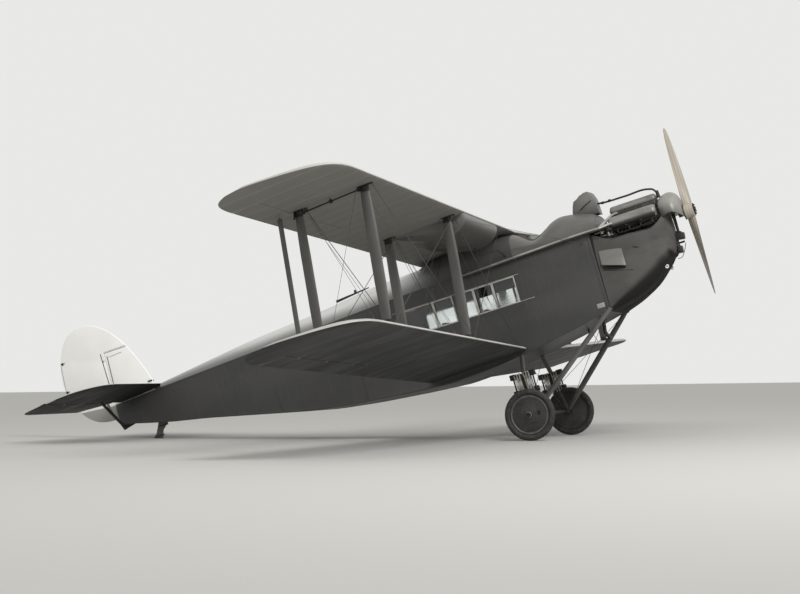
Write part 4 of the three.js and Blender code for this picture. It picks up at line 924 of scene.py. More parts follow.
# %% Cockpit coaming
hood = [(-2.79, 0.43, 3), (-2.62, 0.33, 2.6), (-2.45, 0.24, 2.3), (-2.3, 0.30, 2.1)]
hood += [(-2.15, 0.415, 2.1), (-1.96, 0.472, 2.1), (-1.85, 0.463, 2.1), (-1.7, 0.434, 2.1)]
hood += [(-1.56, 0.39, 2.1), (-1.5, 0.37, 2.1), (-1.41, 0.332, 2.1), (-1.356, 0.29, 2.1)]
hood_rise, hood_power = lines(hood)
OPENING_X = -2.47


def hood_place(u, v):
    x = -2.79 + 1.434 * v
    share, thin = (2 * u, 0) if u <= 0.5 else (2 - 2 * u, 0.01)
    return arch_point(x, share, hood_rise(x), hood_power(x), thin)


skin(96, 60, hood_place)
coaming = piece("coaming_hood", hood_sheet, "cowl_paint", "cockpit_coaming")
oval = {"radius1": 1, "radius2": 1, "depth": 1.2, "segments": 72}
oval["matrix"] = Matrix.Translation((OPENING_X, 0, 0.62)) @ Matrix.Diagonal((0.27, 0.34, 1, 1))
bmesh.ops.create_cone(bm, cap_ends=True, **oval)
cut_out(coaming)


# %% Leather roll on the opening's edge
def roll_path(angle):
    x, y = OPENING_X + 0.268 * math.cos(angle), 0.338 * math.sin(angle)
    power, share = hood_power(x), min(abs(y) / plan_half(x), 1)
    z = longeron(x) + hood_rise(x) * (1 - share**power) ** (1 / power)
    return Vector((x, y, z - 0.004))


def roll_place(u, v):
    angle = 2 * math.pi * v
    here, nearby = roll_path(angle), roll_path(angle + 0.02)
    return ring_point(here, nearby - here, (0, 0, 1), u, 0.019 + 0.0016 * math.cos(angle * 26) ** 2)


skin(14, 156, roll_place, ends=False)
bmesh.ops.remove_doubles(bm, verts=bm.verts, dist=1e-4)
piece("cockpit_leather_roll", leather, "cowl_paint")

# %% [markdown]
# In the cockpit stand a board with a few plain dials and a control column with its wheel. A dial
# is a shallow lathe shape: a rim, a sunk face and a hub.

# %% Instruments and wheel
brick((-2.18, -0.36, 0.02), (-2.15, 0.36, 0.27), 0.006)
piece("instrument_board", cabin_wood, "cockpit_wood")
for y, z, r in ((-0.24, 0.18, 0.05), (-0.1, 0.19, 0.06), (0.06, 0.19, 0.06), (0.22, 0.18, 0.05)):
    dial = [(0, 0), (0, r * 0.86), (-0.012, r), (-0.022, r * 0.96), (-0.022, r * 0.84)]
    lathe([*dial, (-0.012, r * 0.8), (-0.012, 0)], (-2.178, y, z), (1, 0, 0), 28)
piece("instrument_dials", brass, "dark_steel")
hub = Vector((-2.41, -0.17, 0.03))
rod((-2.28, -0.17, -0.72), (-2.36, -0.17, 0.02), 0.018)
rod((-2.36, -0.17, 0.02), (-2.42, -0.17, 0.03), 0.02)
rim = [(0.011 * math.sin(t), 0.15 + 0.011 * math.cos(t)) for t in np.linspace(0, 2 * math.pi, 11)]
lathe(rim, hub, (1, 0, 0.2), 40)
for turn in np.radians((0, 90, 180, 270)):
    rod(hub, hub + Vector((0, math.cos(turn), math.sin(turn))) * 0.147, 0.007)
piece("control_wheel", cabin_wood, "cockpit_wood")

# %% [markdown]
# The cabin windows have thin light frames, in two groups, with a sill line that runs on ahead of
# the front pane. They are mouldings laid on the outside of the ply: four bevelled bars round each
# pane.

# %% Window frames
LOW, HIGH = -0.69, -0.28
PANES = ((-4.9, -4.335), (-4.305, -3.985), (-3.89, -3.61), (-3.58, -3.275), (-3.245, -2.88))
for back, front in PANES:
    inner, outer = sorted((plan_half(back), plan_half(front)))
    for x0, x1, z0, z1 in (
        (back - 0.014, front + 0.014, HIGH - 0.004, HIGH + 0.014),
        (back - 0.014, front + 0.014, LOW - 0.016, LOW + 0.004),
        (back - 0.014, back + 0.005, LOW, HIGH),
        (front - 0.005, front + 0.014, LOW, HIGH),
    ):
        brick((x0, inner - 0.007, z0), (x1, outer + 0.006, z1), 0.002)
brick((-2.88, 0.628, -0.704), (-2.62, 0.645, -0.696), 0.001)
brick((-5.05, 0.628, -0.262), (-2.78, 0.645, -0.256), 0.001)
piece("window_frames_*", window_wood, "cockpit_wood")

# %% [markdown]
# Small fittings finish the sides: edge battens along the longerons, tapes over the joints of the
# plywood, the edges of a hatch ahead of the tail, a bare panel by the nose and the handle of the
# cabin door. Each stands a few millimetres proud, enough to catch light.

# %% Battens, hatch and handle
bottom = [(-1.5, -1.25), (-2.2, -1.4), (-2.88, -1.515), (-3.6, -1.6), (-4.4, -1.64), (-5.2, -1.58)]
bottom += [(-6.06, -1.5), (-6.82, -1.4), (-7.5, -1.26), (-9.24, -0.88), (-9.868, -0.768)]
keel = straight([*bottom, (-10.26, -0.677), (-10.549, -0.606), (-10.82, -0.57)])


def batten(line, back, wide, above):
    """A strip 4 mm proud of the fuselage side that follows a line z(x)."""

    def place(u, v):
        x, turn = -1.56 + (back + 1.56) * v, 2 * math.pi * u
        z = line(x) + above + wide * math.sin(turn)
        return x, plan_half(x) + 0.004 * math.cos(turn), z

    skin(10, 60, place)


batten(longeron, -9.8, 0.016, -0.014)
batten(keel, -10.7, 0.02, 0.016)
for x in (-7.5, -5.88, -1.53):
    y = plan_half(x)
    brick((x - 0.02, y - 0.006, keel(x) + 0.02), (x + 0.02, y + 0.004, longeron(x) - 0.015), 0.0015)
piece("side_battens_*", ply_paint, "body_paint")
hatch = [(x, plan_half(x), z) for x, z in ((-9.732, -0.27), (-9.321, -0.278), (-9.256, -0.553))]
for start, end in zip(hatch, hatch[1:]):
    rod(start, end, 0.003, sides=8)
piece("hatch_edges_*", wire_steel, "stay_steel")
brick((-1.69, -0.6, -1.187), (-1.565, -0.584, -1.11), 0.004)
piece("bare_side_panel", grey_panel, "cowl_paint")
rod((-5.62, 0.63, -0.86), (-5.62, 0.672, -0.86), 0.011)
tube([(-5.62, 0.668, -0.86), (-5.6, 0.676, -0.86), (-5.52, 0.672, -0.862)], 0.009, 10, 12)
piece("cabin_door_handle", brass, "dark_steel", body="cabin_door")

# %% [markdown]
# A dark rod lies along the crest of the decking behind the wing, with a small lug above it: the
# carrier of the control cables inside the decking.

# %% Rod on the decking
tube([(-6.19, 0, 0.345), (-5.9, 0, 0.372), (-5.55, 0, 0.402)], lambda v: 0.024 - 0.015 * v, 10, 20)
brick((-5.83, -0.015, 0.37), (-5.79, 0.015, 0.43), 0.006)
rod((-5.81, -0.015, 0.428), (-5.81, 0.015, 0.428), 0.015)
piece("decking_rod", black_steel, "dark_steel")

# %% [markdown]
# ## Nose
# The cowl is one sheet metal shell, open on top. At its rear it is as square as the cabin; toward
# the front its lower corners grow round and its sides close in. The shell is lofted in rings:
# down one side, round a corner, across the bottom and up again, and then back 9 mm inside.

# %% Cowl shell
top = [(-1.492, -0.022), (-1.458, -0.032), (-1.343, -0.103), (-1.161, -0.172), (-0.938, -0.176)]
top += [(-0.695, -0.19), (-0.524, -0.184), (-0.42, -0.12), (-0.343, -0.045), (-0.262, -0.01)]
low = [(-1.492, -1.285), (-1.04, -1.16), (-0.72, -1.0), (-0.55, -0.86), (-0.4, -0.71)]
low += [(-0.29, -0.56), (-0.262, -0.42)]
half = [(-1.492, 0.58), (-1.0, 0.54), (-0.64, 0.47), (-0.43, 0.385), (-0.31, 0.255), (-0.262, 0.11)]
corner = [(-1.492, 0.06), (-1.2, 0.15), (-0.75, 0.21), (-0.45, 0.17), (-0.262, 0.09)]
cowl_top, cowl_bottom, cowl_half, cowl_corner = (lines(t)[0] for t in (top, low, half, corner))


def cowl_point(x, share, inside):
    """A point of the U-shaped ring, share 0 to 1 from the starboard rim to the port rim."""
    top, low, half = cowl_top(x), cowl_bottom(x) + inside, cowl_half(x) - inside
    tall = min(cowl_corner(x) * 1.1, (top - low) * 0.7)
    wide = min(cowl_corner(x) * 1.6, half * 0.95)
    s = abs(2 * share - 1)
    if s > 0.5:
        y, z = half, low + tall + (top - low - tall) * (s - 0.5) * 2
    elif s > 0.18:
        turn = math.pi / 2 * (s - 0.18) / 0.32
        y, z = half - wide + wide * math.sin(turn), low + tall - tall * math.cos(turn)
    else:
        y, z = (half - wide) * s / 0.18, low
    return x, math.copysign(y, share - 0.5), z


def cowl_place(u, v):
    x = -0.262 - 1.23 * v**1.7
    return cowl_point(x, 2 * u, 0) if u <= 0.5 else cowl_point(min(x, -0.272), 2 - 2 * u, 0.009)


skin(96, 54, cowl_place)
piece("cowl_shell", cowl_sheet, "cowl_paint", "nose_cowl", corner=50)

# %% [markdown]
# The front of the cowl is closed by a rounded plate that reaches up behind the gear casing, and
# a rolled bead follows the whole upper rim.

# %% Cowl front and rim bead
def front_place(u, v):
    turn, full = 2 * math.pi * u, math.sin(math.pi / 2 * v) ** 0.8
    y, z = 0.115 * full * math.cos(turn), -0.215 + 0.21 * full * math.sin(turn)
    return -0.258 + 0.012 * math.cos(math.pi / 2 * v), y, z


skin(40, 8, front_place)
piece("cowl_front_plate", cowl_sheet, "cowl_paint", corner=60)
rim = [(x, cowl_half(x) - 0.005, cowl_top(x)) for x in np.linspace(-1.49, -0.275, 24)]
tube(rim, 0.008, 8, 70)
tube([(x, 0.02, cowl_bottom(x) - 0.001) for x in np.linspace(-1.4, -0.5, 12)], 0.005, 8, 30)
piece("cowl_beads_*", cowl_sheet, "cowl_paint")

# %% [markdown]
# Each side has an air outlet: a plate that is flush at its top edge and stands away at the
# bottom. A thin plate bent outward does it. The dark mouth under it is painted shadow: a matt
# black lip stands where the opening lies in shade.

# %% Air outlets
vent = (-1.418, -0.266), (-1.06, -0.314), (-1.059, -0.648), (-1.429, -0.531)
vent = [Vector(spot) for spot in vent]


def vent_place(u, v):
    a = min(max(u * 1.25 - 0.125, 0), 1)
    x, z = vent[0].lerp(vent[1], a).lerp(vent[3].lerp(vent[2], a), v)
    return x, cowl_half(x) - 0.004 + 0.06 * v**1.3 * math.sin(math.pi * u) ** 0.25, z


grid(24, 20, vent_place)
bmesh.ops.solidify(bm, geom=bm.faces[:], thickness=0.004)
piece("air_outlets_*", vent_sheet, "cowl_paint", corner=35)
# Painted shadow: black lips for the mouth under the outlet and a small slot ahead of it.
for x0, z0, x1, z1, wide, proud in (
    (-1.43, -0.583, -1.075, -0.672, 0.03, 0.02),
    (-0.896, -0.394, -0.79, -0.43, 0.011, 0.003),
):
    start, end = Vector((x0, cowl_half(x0), z0)), Vector((x1, cowl_half(x1), z1))

    def mouth_shadow_place(u, v):
        turn, full = 2 * math.pi * u, math.sin(math.pi * v) ** 0.35
        lip = Vector((0, proud * math.cos(turn), wide * full * math.sin(turn)))
        return start.lerp(end, v) + lip

    skin(14, 24, mouth_shadow_place)
seam = (-1.44, -0.616), (-1.3, -0.66), (-0.98, -0.75)
tube([(x, cowl_half(x) + 0.001, z) for x, z in seam], 0.005, 8, 24)
# Painted shadow: a black wedge at the cowl's rear edge, for the gap to the firewall.
gap_shadow_outline = [(-1.492, -0.02), (-1.45, -0.03), (-1.482, -0.364), (-1.489, -1.13), (-1.496, -1.13)]
sheet(gap_shadow_outline, cowl_half(-1.47) - 0.01, cowl_half(-1.47) + 0.0035)
piece("cowl_openings_*", seam_and_shadow_black, "dark_steel")

# %% [markdown]
# The airscrew is geared, and its gears turn under a round aluminium hood: a full dome in front,
# flat behind, and cut away below along an arched edge. A dome is a lathe shape about a line a
# little above the shaft. The arch is cut through it with a block drawn from the side.

# %% Gear casing
SHAFT_Z = -0.05
dome = [(-0.378, 0), (-0.378, 0.25), (-0.368, 0.272), (-0.305, 0.322), (-0.232, 0.345)]
dome += [(-0.148, 0.342), (-0.078, 0.294), (-0.035, 0.212), (-0.022, 0.12), (-0.022, 0)]
smooth = map(path_through(dome), np.linspace(0, 1, 60))
lathe([(max(a, -0.378), max(r, 0)) for a, r in smooth], (0, 0, -0.01), (1, 0, 0), 72)
casing = piece("gear_casing_hood", gear_sheet, "cowl_paint", "gear_cowl")
hood_edge = [(-0.4, -0.105), (-0.368, -0.076), (-0.319, -0.054), (-0.276, -0.037)]
hood_edge += [(-0.237, -0.025), (-0.202, -0.02), (-0.154, -0.027), (-0.103, -0.058)]
hood_edge += [(-0.058, -0.088), (-0.033, -0.118), (0.01, -0.156), (0.01, -0.5), (-0.4, -0.5)]
sheet(hood_edge, -0.5, 0.5)
cut_out(casing)
for turn in np.radians(range(-105, 106, 15)):
    here = Vector((-0.392, 0.262 * math.sin(turn), -0.01 + 0.262 * math.cos(turn)))
    rod(here, here + Vector((0.02, 0, 0)), 0.0085, sides=6)
rod((-0.12, 0, SHAFT_Z), (-0.016, 0, SHAFT_Z), 0.062, sides=36)
lathe([(0, 0.13), (0.008, 0.128), (0.01, 0.11), (0, 0.1)], (-0.024, 0, SHAFT_Z), (1, 0, 0), 40)
piece("gear_casing_studs", dark_casting, "engine_metal")

# %% [markdown]
# The front of the cowl rises under the hood as a light upright plate. In front of it a dark
# shaft comes down from the gears to the water pump, with pipes and a starting handle.

# %% Pump and pipes in front
def column_place(u, v):
    turn, wide, deep = 2 * math.pi * u, 0.075 - 0.012 * v, 0.1 - 0.012 * v
    return -0.31 - 0.035 * v + wide * math.cos(turn), deep * math.sin(turn), -0.34 * v


skin(32, 12, column_place)
piece("front_column", header_sheet, "cowl_paint")
rod((-0.205, 0, -0.01), (-0.205, 0, -0.34), 0.03, 0.022, 20)
rod((-0.245, 0, -0.325), (-0.165, 0, -0.35), 0.026, sides=16)
brick((-0.29, -0.07, -0.452), (-0.125, 0.07, -0.34), 0.018, Matrix.Rotation(0.12, 4, "Y"))
brick((-0.32, -0.06, -0.66), (-0.21, 0.06, -0.545), 0.018, Matrix.Rotation(0.12, 4, "Y"))
rod((-0.27, 0, -0.36), (-0.27, 0, -0.66), 0.034, sides=20)
rod((-0.3, 0, -0.5), (-0.15, 0, -0.5), 0.016, sides=16)
for y in (-0.05, 0.05):
    tube([(-0.25, y, -0.43), (-0.285, y, -0.5), (-0.26, y, -0.57)], 0.013, 10, 16)
piece("water_pump", black_steel, "engine_metal")
handle = [(-0.14, -0.03, -0.53), (-0.15, -0.03, -0.56), (-0.2, -0.03, -0.66)]
handle += [(-0.262, -0.03, -0.735), (-0.33, -0.03, -0.74)]
tube(handle, 0.0055, 8, 30, up=(0, 1, 0))
piece("starting_handle", wire_steel, "stay_steel")
ring = [(0.002, 0.012), (0.012, 0.016), (0.016, 0.024), (0.012, 0.031), (0, 0.033)]
ring += [(-0.02, 0.033), (-0.02, 0.012), (0.002, 0.012)]
for side in (-1, 1):
    lathe(ring, (-0.503, side * 0.216, -0.824), (0.45, side, -0.55), 32)
piece("lifting_ring_sockets", ring_white, "white_dope")

# %% [markdown]
# ## Engine
# Three banks of four cylinders stand on one crankcase, one upright and one leaning 60 degrees to
# each side. A bank is drawn upright, and turned about the crankshaft. Its long rounded cover
# hides the camshaft; below are the cylinder jackets, plugs, inlet pipes and ports.

# %% One bank of cylinders
BANK_FRONT, BANK_BACK, CRANK = -0.381, -1.17, -0.15
CYLINDERS = [BANK_BACK + 0.105 + number * 0.193 for number in range(4)]


def along_bank(v):
    """A place along a bank, from 0 at its back to 1 at its front."""
    return BANK_BACK + (BANK_FRONT - BANK_BACK) * v


def draw_covers():
    def place(u, v):
        turn, edge = 2 * math.pi * u, min(v, 1 - v) * (BANK_FRONT - BANK_BACK)
        full = math.sqrt(1 - max(0, 1 - edge / 0.05) ** 2) * 0.5 + 0.5
        y = 0.1 * full * squarer(math.cos(turn), 0.85)
        return along_bank(v), y, 0.46 + 0.088 * full * math.sin(turn)

    skin(36, 40, place)
    for x in map(along_bank, (0.02, 0.34, 0.66, 0.98)):
        brick((x - 0.012, -0.106, 0.446), (x + 0.012, 0.106, 0.462), 0.003)


def draw_cylinders():
    brick((BANK_BACK + 0.01, -0.095, 0.33), (BANK_FRONT - 0.02, 0.095, 0.43), 0.014)
    for x in CYLINDERS:
        jacket = [(0.08, 0), (0.08, 0.072), (0.14, 0.082), (0.33, 0.084), (0.34, 0)]
        lathe(jacket, (x, 0, 0.02), (0, 0, 1), 28)
        for side in (-1, 1):
            port, plug = Vector((x, side * 0.09, 0.385)), Vector((x + 0.06, side * 0.09, 0.35))
            rod(port, port + Vector((0, side * 0.02, 0)), 0.034, sides=18)
            rod(port, port + Vector((0, side * 0.028, 0)), 0.022, sides=14)
            rod(plug, plug + Vector((0, side * 0.038, 0.008)), 0.009, 0.006, 8)
            bolt = Vector((x + 0.095, side * 0.06, 0.42))
            rod(bolt, bolt + Vector((0, 0, 0.05)), 0.007, sides=6)
    brick((BANK_FRONT - 0.07, -0.06, 0.25), (BANK_FRONT + 0.001, 0.06, 0.5), 0.018)
    rod((BANK_FRONT - 0.02, 0, 0.45), (BANK_FRONT + 0.002, 0, 0.45), 0.05, 0.042, 24)


def draw_pipes():
    for side in (-1, 1):
        y, z = side * 0.125, 0.315
        rod((BANK_BACK + 0.05, y, z), (BANK_FRONT - 0.07, y, z), 0.017, sides=14)
        for x in CYLINDERS:
            inlet = [(x, side * 0.1, 0.385), (x, side * 0.135, 0.36), (x, y, z)]
            tube(inlet, 0.013, 10, 10, up=(1, 0, 0))
        lead = [(BANK_BACK + 0.1, side * 0.135, 0.35), (-0.78, side * 0.142, 0.356)]
        tube([*lead, (BANK_FRONT - 0.02, side * 0.115, 0.37)], 0.006, 8, 30)


for kind, draw, finish in (
    ("covers", draw_covers, bright_casting),
    ("cylinders", draw_cylinders, dark_casting),
    ("pipes", draw_pipes, dark_casting),
):
    for label, lean in (("starboard", 60), ("upright", 0), ("port", -60)):
        draw()
        bank = Matrix.Translation((0, 0, CRANK)) @ turned(lean, "X")
        piece(f"engine_{kind}_{label}", finish, "engine_metal", "engine", turn=bank)

# %% [markdown]
# The crankcase is a rounded casting with ribs across it; the sump hangs below in the cowl.
# Between the firewall and the banks small light controls and pipes show through the side
# opening: short tubes, a filter and two rods.

# %% Crankcase and controls
def case_place(u, v):
    turn, bulge = 2 * math.pi * u, 1 + 0.035 * max(0, math.cos(v * math.pi * 12)) ** 6
    tall = 0.2 if math.sin(turn) > 0 else 0.42
    z = -0.19 + tall * bulge * squarer(math.sin(turn), 0.7)
    return v - 1.5, 0.2 * bulge * squarer(math.cos(turn), 0.7), z


skin(44, 60, case_place)
brick((-1.49, -0.12, -0.02), (-1.24, 0.12, 0.1), 0.02)
rod((-1.36, 0, 0.08), (-1.36, 0, 0.19), 0.06, sides=24)
for y in (-0.2, 0.2):
    brick((-1.46, y - 0.05, 0.02), (-1.28, y + 0.05, 0.14), 0.02)
    rod((-1.46, y, 0.08), (-1.28, y, 0.08), 0.055, sides=20)
piece("crankcase", dark_casting, "engine_metal")
rod((-1.46, 0.5, -0.06), (-1.14, 0.44, -0.1), 0.012, sides=10)
rod((-1.42, 0.52, -0.02), (-1.26, 0.5, -0.015), 0.016)
rod((-1.3, 0.52, -0.05), (-1.3, 0.52, -0.02), 0.028, sides=18)
rod((-1.2, 0.5, -0.13), (-1.2, 0.5, -0.05), 0.02, sides=14)
tube([(-1.45, 0.4, -0.1), (-1.35, 0.42, -0.14), (-1.18, 0.33, -0.06)], 0.014, 10, 20)
piece("engine_controls_*", bright_casting, "engine_metal")

# %% [markdown]
# The header tank stands on the hood: six-sided from the side, with rounded corners and a filler.
# Its outline is extruded to the width of its middle, and the ends are then pulled in.

# %% Header tank and water pipe
outline = [(-1.759, 0.4), (-1.759, 0.488), (-1.722, 0.595), (-1.689, 0.661), (-1.61, 0.694)]
outline += [(-1.57, 0.727), (-1.435, 0.757), (-1.37, 0.719), (-1.327, 0.6), (-1.317, 0.343)]
sheet(outline, -0.14, 0.14, 0.016)
for vert in bm.verts:
    front = max(0, min(1, (vert.co.x + 1.44) / 0.12))
    back = max(0, min(1, (-1.64 - vert.co.x) / 0.12))
    vert.co.y *= 1 - 0.36 * front**1.5 - 0.3 * back**1.5
rod((-1.5, 0, 0.73), (-1.5, 0, 0.766), 0.035, sides=24)
tube([(-1.62, -0.14, 0.5), (-1.5, -0.15, 0.56), (-1.4, -0.13, 0.6)], 0.012, 10, 20)
piece("sheet_header_tank", header_sheet, "body_paint", "header_tank")
water = [(-1.345, 0.52), (-1.24, 0.505), (-0.85, 0.492), (-0.46, 0.48)]
water += [(-0.40, 0.458), (-0.365, 0.42), (-0.352, 0.396)]
tube([(x, -0.06, z) for x, z in water], 0.016, 14, 70)
for x in (-1.26, -1.14):
    rod((x, -0.06, 0.505), (x + 0.04, -0.06, 0.503), 0.022, sides=16)
rod((-0.345, -0.05, 0.42), (-0.34, -0.03, 0.3), 0.026, 0.03, 16)
piece("water_pipe", black_steel, "dark_steel", "coolant_pipe")

# %% [markdown]
# A long exhaust pipe runs along each side of the hood and back above the cabin windows, with a
# branch up to the upright bank. Both are tubes along smooth lines, held by strap brackets.

# %% Exhaust pipes
low_branch = [(-3.7, 0.69, -0.024), (-3.38, 0.69, -0.017), (-3.06, 0.69, -0.01)]
low_branch += [(-2.68, 0.679, 0.003), (-2.305, 0.666, 0.014), (-1.9, 0.652, 0.028)]
low_branch += [(-1.45, 0.638, 0.03), (-1.33, 0.63, 0.03), (-1.215, 0.56, 0.05)]
low_branch += [(-1.08, 0.43, 0.075)]
high_branch = [(-1.43, 0.637, 0.03), (-1.335, 0.628, 0.036), (-1.262, 0.56, 0.078)]
high_branch += [(-1.19, 0.43, 0.148), (-1.12, 0.26, 0.222), (-1.06, 0.09, 0.262)]
tube(low_branch, lambda v: 0.03 if v > 0.01 else 0.033, 22, 150)
tube(high_branch, 0.027, 20, 60)
xs, ys, _ = zip(*low_branch)
for x, z in ((-3.56, -0.02), (-2.75, -0.002), (-1.95, 0.026)):
    y = np.interp(x, xs, ys)
    rod((x - 0.014, y, z), (x + 0.014, y, z), 0.0335, sides=22)
    brick((x - 0.012, plan_half(x) + 0.0005, z - 0.012), (x + 0.012, y, z + 0.012), 0.002)
rod((-1.425, 0.6365, 0.03), (-1.385, 0.634, 0.03), 0.036, sides=22)
piece("exhaust_tube_*", hot_steel, "exhaust_steel", "exhaust_pipe_*")

# %% [markdown]
# ## Propeller
# One blade is a loft of rings: each has a flat back, a curved front, and its own chord, depth and
# twist. The second blade is the first turned half round the shaft. The boss carries a steel
# plate with eight bolts.

# %% Blades, boss and plate
BOSS = (0.062, 0, SHAFT_Z)
blade = [(0, 0.15, 0.13, 62), (0.16, 0.17, 0.1, 55), (0.4, 0.19, 0.062, 42)]
blade += [(0.75, 0.208, 0.036, 30), (1.08, 0.188, 0.022, 23), (1.3, 0.126, 0.013, 20)]
blade += [(1.385, 0.055, 0.009, 19), (1.4, 0.012, 0.006, 19)]
blade_chord, blade_thick, blade_twist = lines(blade)
ring = [(0.5, 0), (0.3, 0.4), (-0.1, 0.5), (-0.5, 0.03), (-0.1, -0.19), (0.3, -0.17), (0.5, 0)]
blade_ring = curve((0, 0.14, 0.36, 0.55, 0.72, 0.9, 1), ring)
for half_turn in (0, 180):
    way_out = Matrix.Translation(BOSS) @ turned(2.6 + half_turn, "X")

    def blade_place(u, v):
        out = 1.4 * math.sin(math.pi / 2 * v) ** 1.1
        angle = math.radians(blade_twist(out))
        across, deep = blade_ring(u) * (blade_chord(out), blade_thick(out))
        x = across * math.sin(angle) + deep * math.cos(angle)
        return at(way_out, x, across * math.cos(angle) - deep * math.sin(angle), out)

    skin(40, 80, blade_place)
boss = [(-0.075, 0), (-0.075, 0.11), (-0.068, 0.122), (-0.055, 0.125), (0.055, 0.125)]
lathe([*boss, (0.068, 0.122), (0.075, 0.11), (0.075, 0)], BOSS, (1, 0, 0), 64)
piece("propeller_blades", laminated, "propeller_wood", "propeller", "propeller")
plate = [(0.07, 0), (0.07, 0.096), (0.075, 0.1), (0.084, 0.1), (0.087, 0.096), (0.087, 0.042)]
lathe([*plate, (0.1, 0.04), (0.105, 0.034), (0.105, 0)], BOSS, (1, 0, 0))
for turn in np.radians(np.arange(22.5, 360, 45)):
    start = Vector((0.145, 0.075 * math.sin(turn), SHAFT_Z + 0.075 * math.cos(turn)))
    rod(start, start + Vector((0.016, 0, 0)), 0.0095, sides=6)
    rod(start, start + Vector((0.022, 0, 0)), 0.005, sides=10)
piece("propeller_plate", black_steel, "dark_steel", body="propeller")

# %% [markdown]
# ## Tail
# The tailplane and the elevator share one section, cut at the hinge. The fixed part is a loft
# across the whole span. The elevator's inner end is cut on the slant to clear the rudder, so its
# first row leans; its nose is round and has slots for the three hinges of each side.

# %% Tailplane
TAIL_CHORD, TAIL_HINGE, TAIL_THICK, TAIL_TIP, TAIL_HALF_SPAN = 1.47, -0.92, 0.07, 1.65, 2.48
TAIL_LUGS, TAIL_ROOT = (0.6667, 1.28, 1.8933), 0.3
TAIL = Matrix.Translation((-9.83, 0, -0.066)) @ Matrix.Rotation(-math.atan(0.08), 4, "Y")
section = [(0, 0), (0.04, 0.3), (0.15, 0.46), (0.35, 0.5), (0.62, 0.42), (1, 0.03)]
tail_half = lines([(math.sqrt(b), t) for b, t in section])[0]
tip = [(TAIL_TIP, 0, 0, 1), (2.0, 0.07, 0, 0.95), (2.2, 0.18, 0, 0.85), (2.33, 0.31, 0.035, 0.7)]
tail_lead, tail_trail, tail_depth = lines([*tip, (2.43, 0.48, 0.14, 0.5), (2.48, 0.7, 0.4, 0.3)])


def tail_edges(out):
    """The nose and tail of the section at a place along the span, and its depth."""
    out = abs(out)
    if out <= TAIL_TIP:
        return 0, -TAIL_CHORD, 1
    return -tail_lead(out), tail_trail(out) - TAIL_CHORD, tail_depth(out)


def tail_height(out, x):
    """The height of the cloth over the middle of the section, with its dip between two ribs."""
    nose, back, depth = tail_edges(out)
    part = min(max((nose - x) / (nose - back), 0), 1)
    dip = 0.002 * math.sin(math.pi * out / RIB) ** 2 * min(part / 0.12, 1, (1 - part) / 0.1)
    return tail_half(math.sqrt(part)) * TAIL_THICK * depth - dip * depth


def tailplane_point(u, out):
    a, side = abs(2 * u - 1), 1 if u < 0.5 else -1
    nose, cut = tail_edges(out)[0], TAIL_HINGE + 0.035
    x = nose + (cut - nose) * min(a / 0.9, 1) ** 2
    return at(TAIL, x, out, side * tail_height(out, x) * min((1 - a) / 0.1, 1))


outer = TAIL_HALF_SPAN - (TAIL_HALF_SPAN - TAIL_TIP) * np.linspace(1, 0, 24)[1:] ** 2
outs = [*np.linspace(0, TAIL_TIP, 29), *outer]
loft(40, [(out,) for out in [-out for out in outs[:0:-1]] + outs], tailplane_point)
for y in (side * lug for side in (-1, 1) for lug in TAIL_LUGS):
    brick(at(TAIL, TAIL_HINGE, y - 0.01, -0.008), at(TAIL, TAIL_HINGE + 0.04, y + 0.01, 0.005))
    rod(at(TAIL, TAIL_HINGE, y - 0.012, 0), at(TAIL, TAIL_HINGE, y + 0.012, 0), 0.012)
piece("tailplane_linen", tail_linen, "tail_dope", "tailplane", corner=30)

# %% Elevator
def elevator_point(u, out, slotted, half):
    a, side = abs(2 * u - 1), 1 if u < 0.5 else -1
    back, behind = tail_edges(out)[1], TAIL_HINGE - NOSE_BACK
    nose_r = min(0.027, tail_height(out, TAIL_HINGE))
    if a >= 0.4:
        x = behind + (back - behind) * (a - 0.4) / 0.6
        z = tail_height(out, x)
    elif slotted:
        x, z = behind, tail_height(out, behind) * a / 0.4
    elif a <= 0.3:
        turn = math.pi / 2 * a / 0.3
        x, z = TAIL_HINGE + nose_r * math.cos(turn), nose_r * math.sin(turn)
    else:
        x = TAIL_HINGE - NOSE_BACK * (a - 0.3) / 0.1
        z = nose_r + (tail_height(out, behind) - nose_r) * (a - 0.3) / 0.1
    slant = 0.32 * min(max((TAIL_HINGE - x) / 0.55, 0), 1) if out == TAIL_ROOT else 0
    return at(TAIL, x, half * (out + slant), side * z)


outer = TAIL_HALF_SPAN - 0.28 * np.linspace(1, 0, 14) ** 2
elevator_rows = with_slots([TAIL_ROOT, *np.arange(0.64, 2.2, 0.045), *outer], TAIL_LUGS, 0.018)
for half in (1, -1):
    loft(40, [(*row, half) for row in elevator_rows], elevator_point)
    for tall in (-0.2, 0.2):
        horn = (-0.93, 0), (-0.905, tall), (-0.94, tall), (-0.985, 0)
        sheet([at(TAIL, x, 0, z).xz for x, z in horn], half * 0.4, half * 0.412)
rod(at(TAIL, TAIL_HINGE, -0.32, 0), at(TAIL, TAIL_HINGE, 0.32, 0), 0.019, sides=20)
piece("elevator_linen", tail_linen, "tail_dope", "elevator", "elevator", corner=35)

# %% [markdown]
# Fin and rudder share one rounded outline. Each is a flat frame with a rim of steel tube under
# white linen: the outline is extruded to its thickness and its edges are rounded. The rudder's
# horn reaches forward over the fin, and its nose is notched where the two hinges sit.

# %% Fin and rudder
def bend(a, control, b, steps):
    """Points of a quadratic curve from a to b, without its first point."""
    a, control, b = Vector(a), Vector(control), Vector(b)
    shares = [(k + 1) / steps for k in range(steps)]
    return [a.lerp(control, s).lerp(control.lerp(b, s), s).to_tuple() for s in shares]


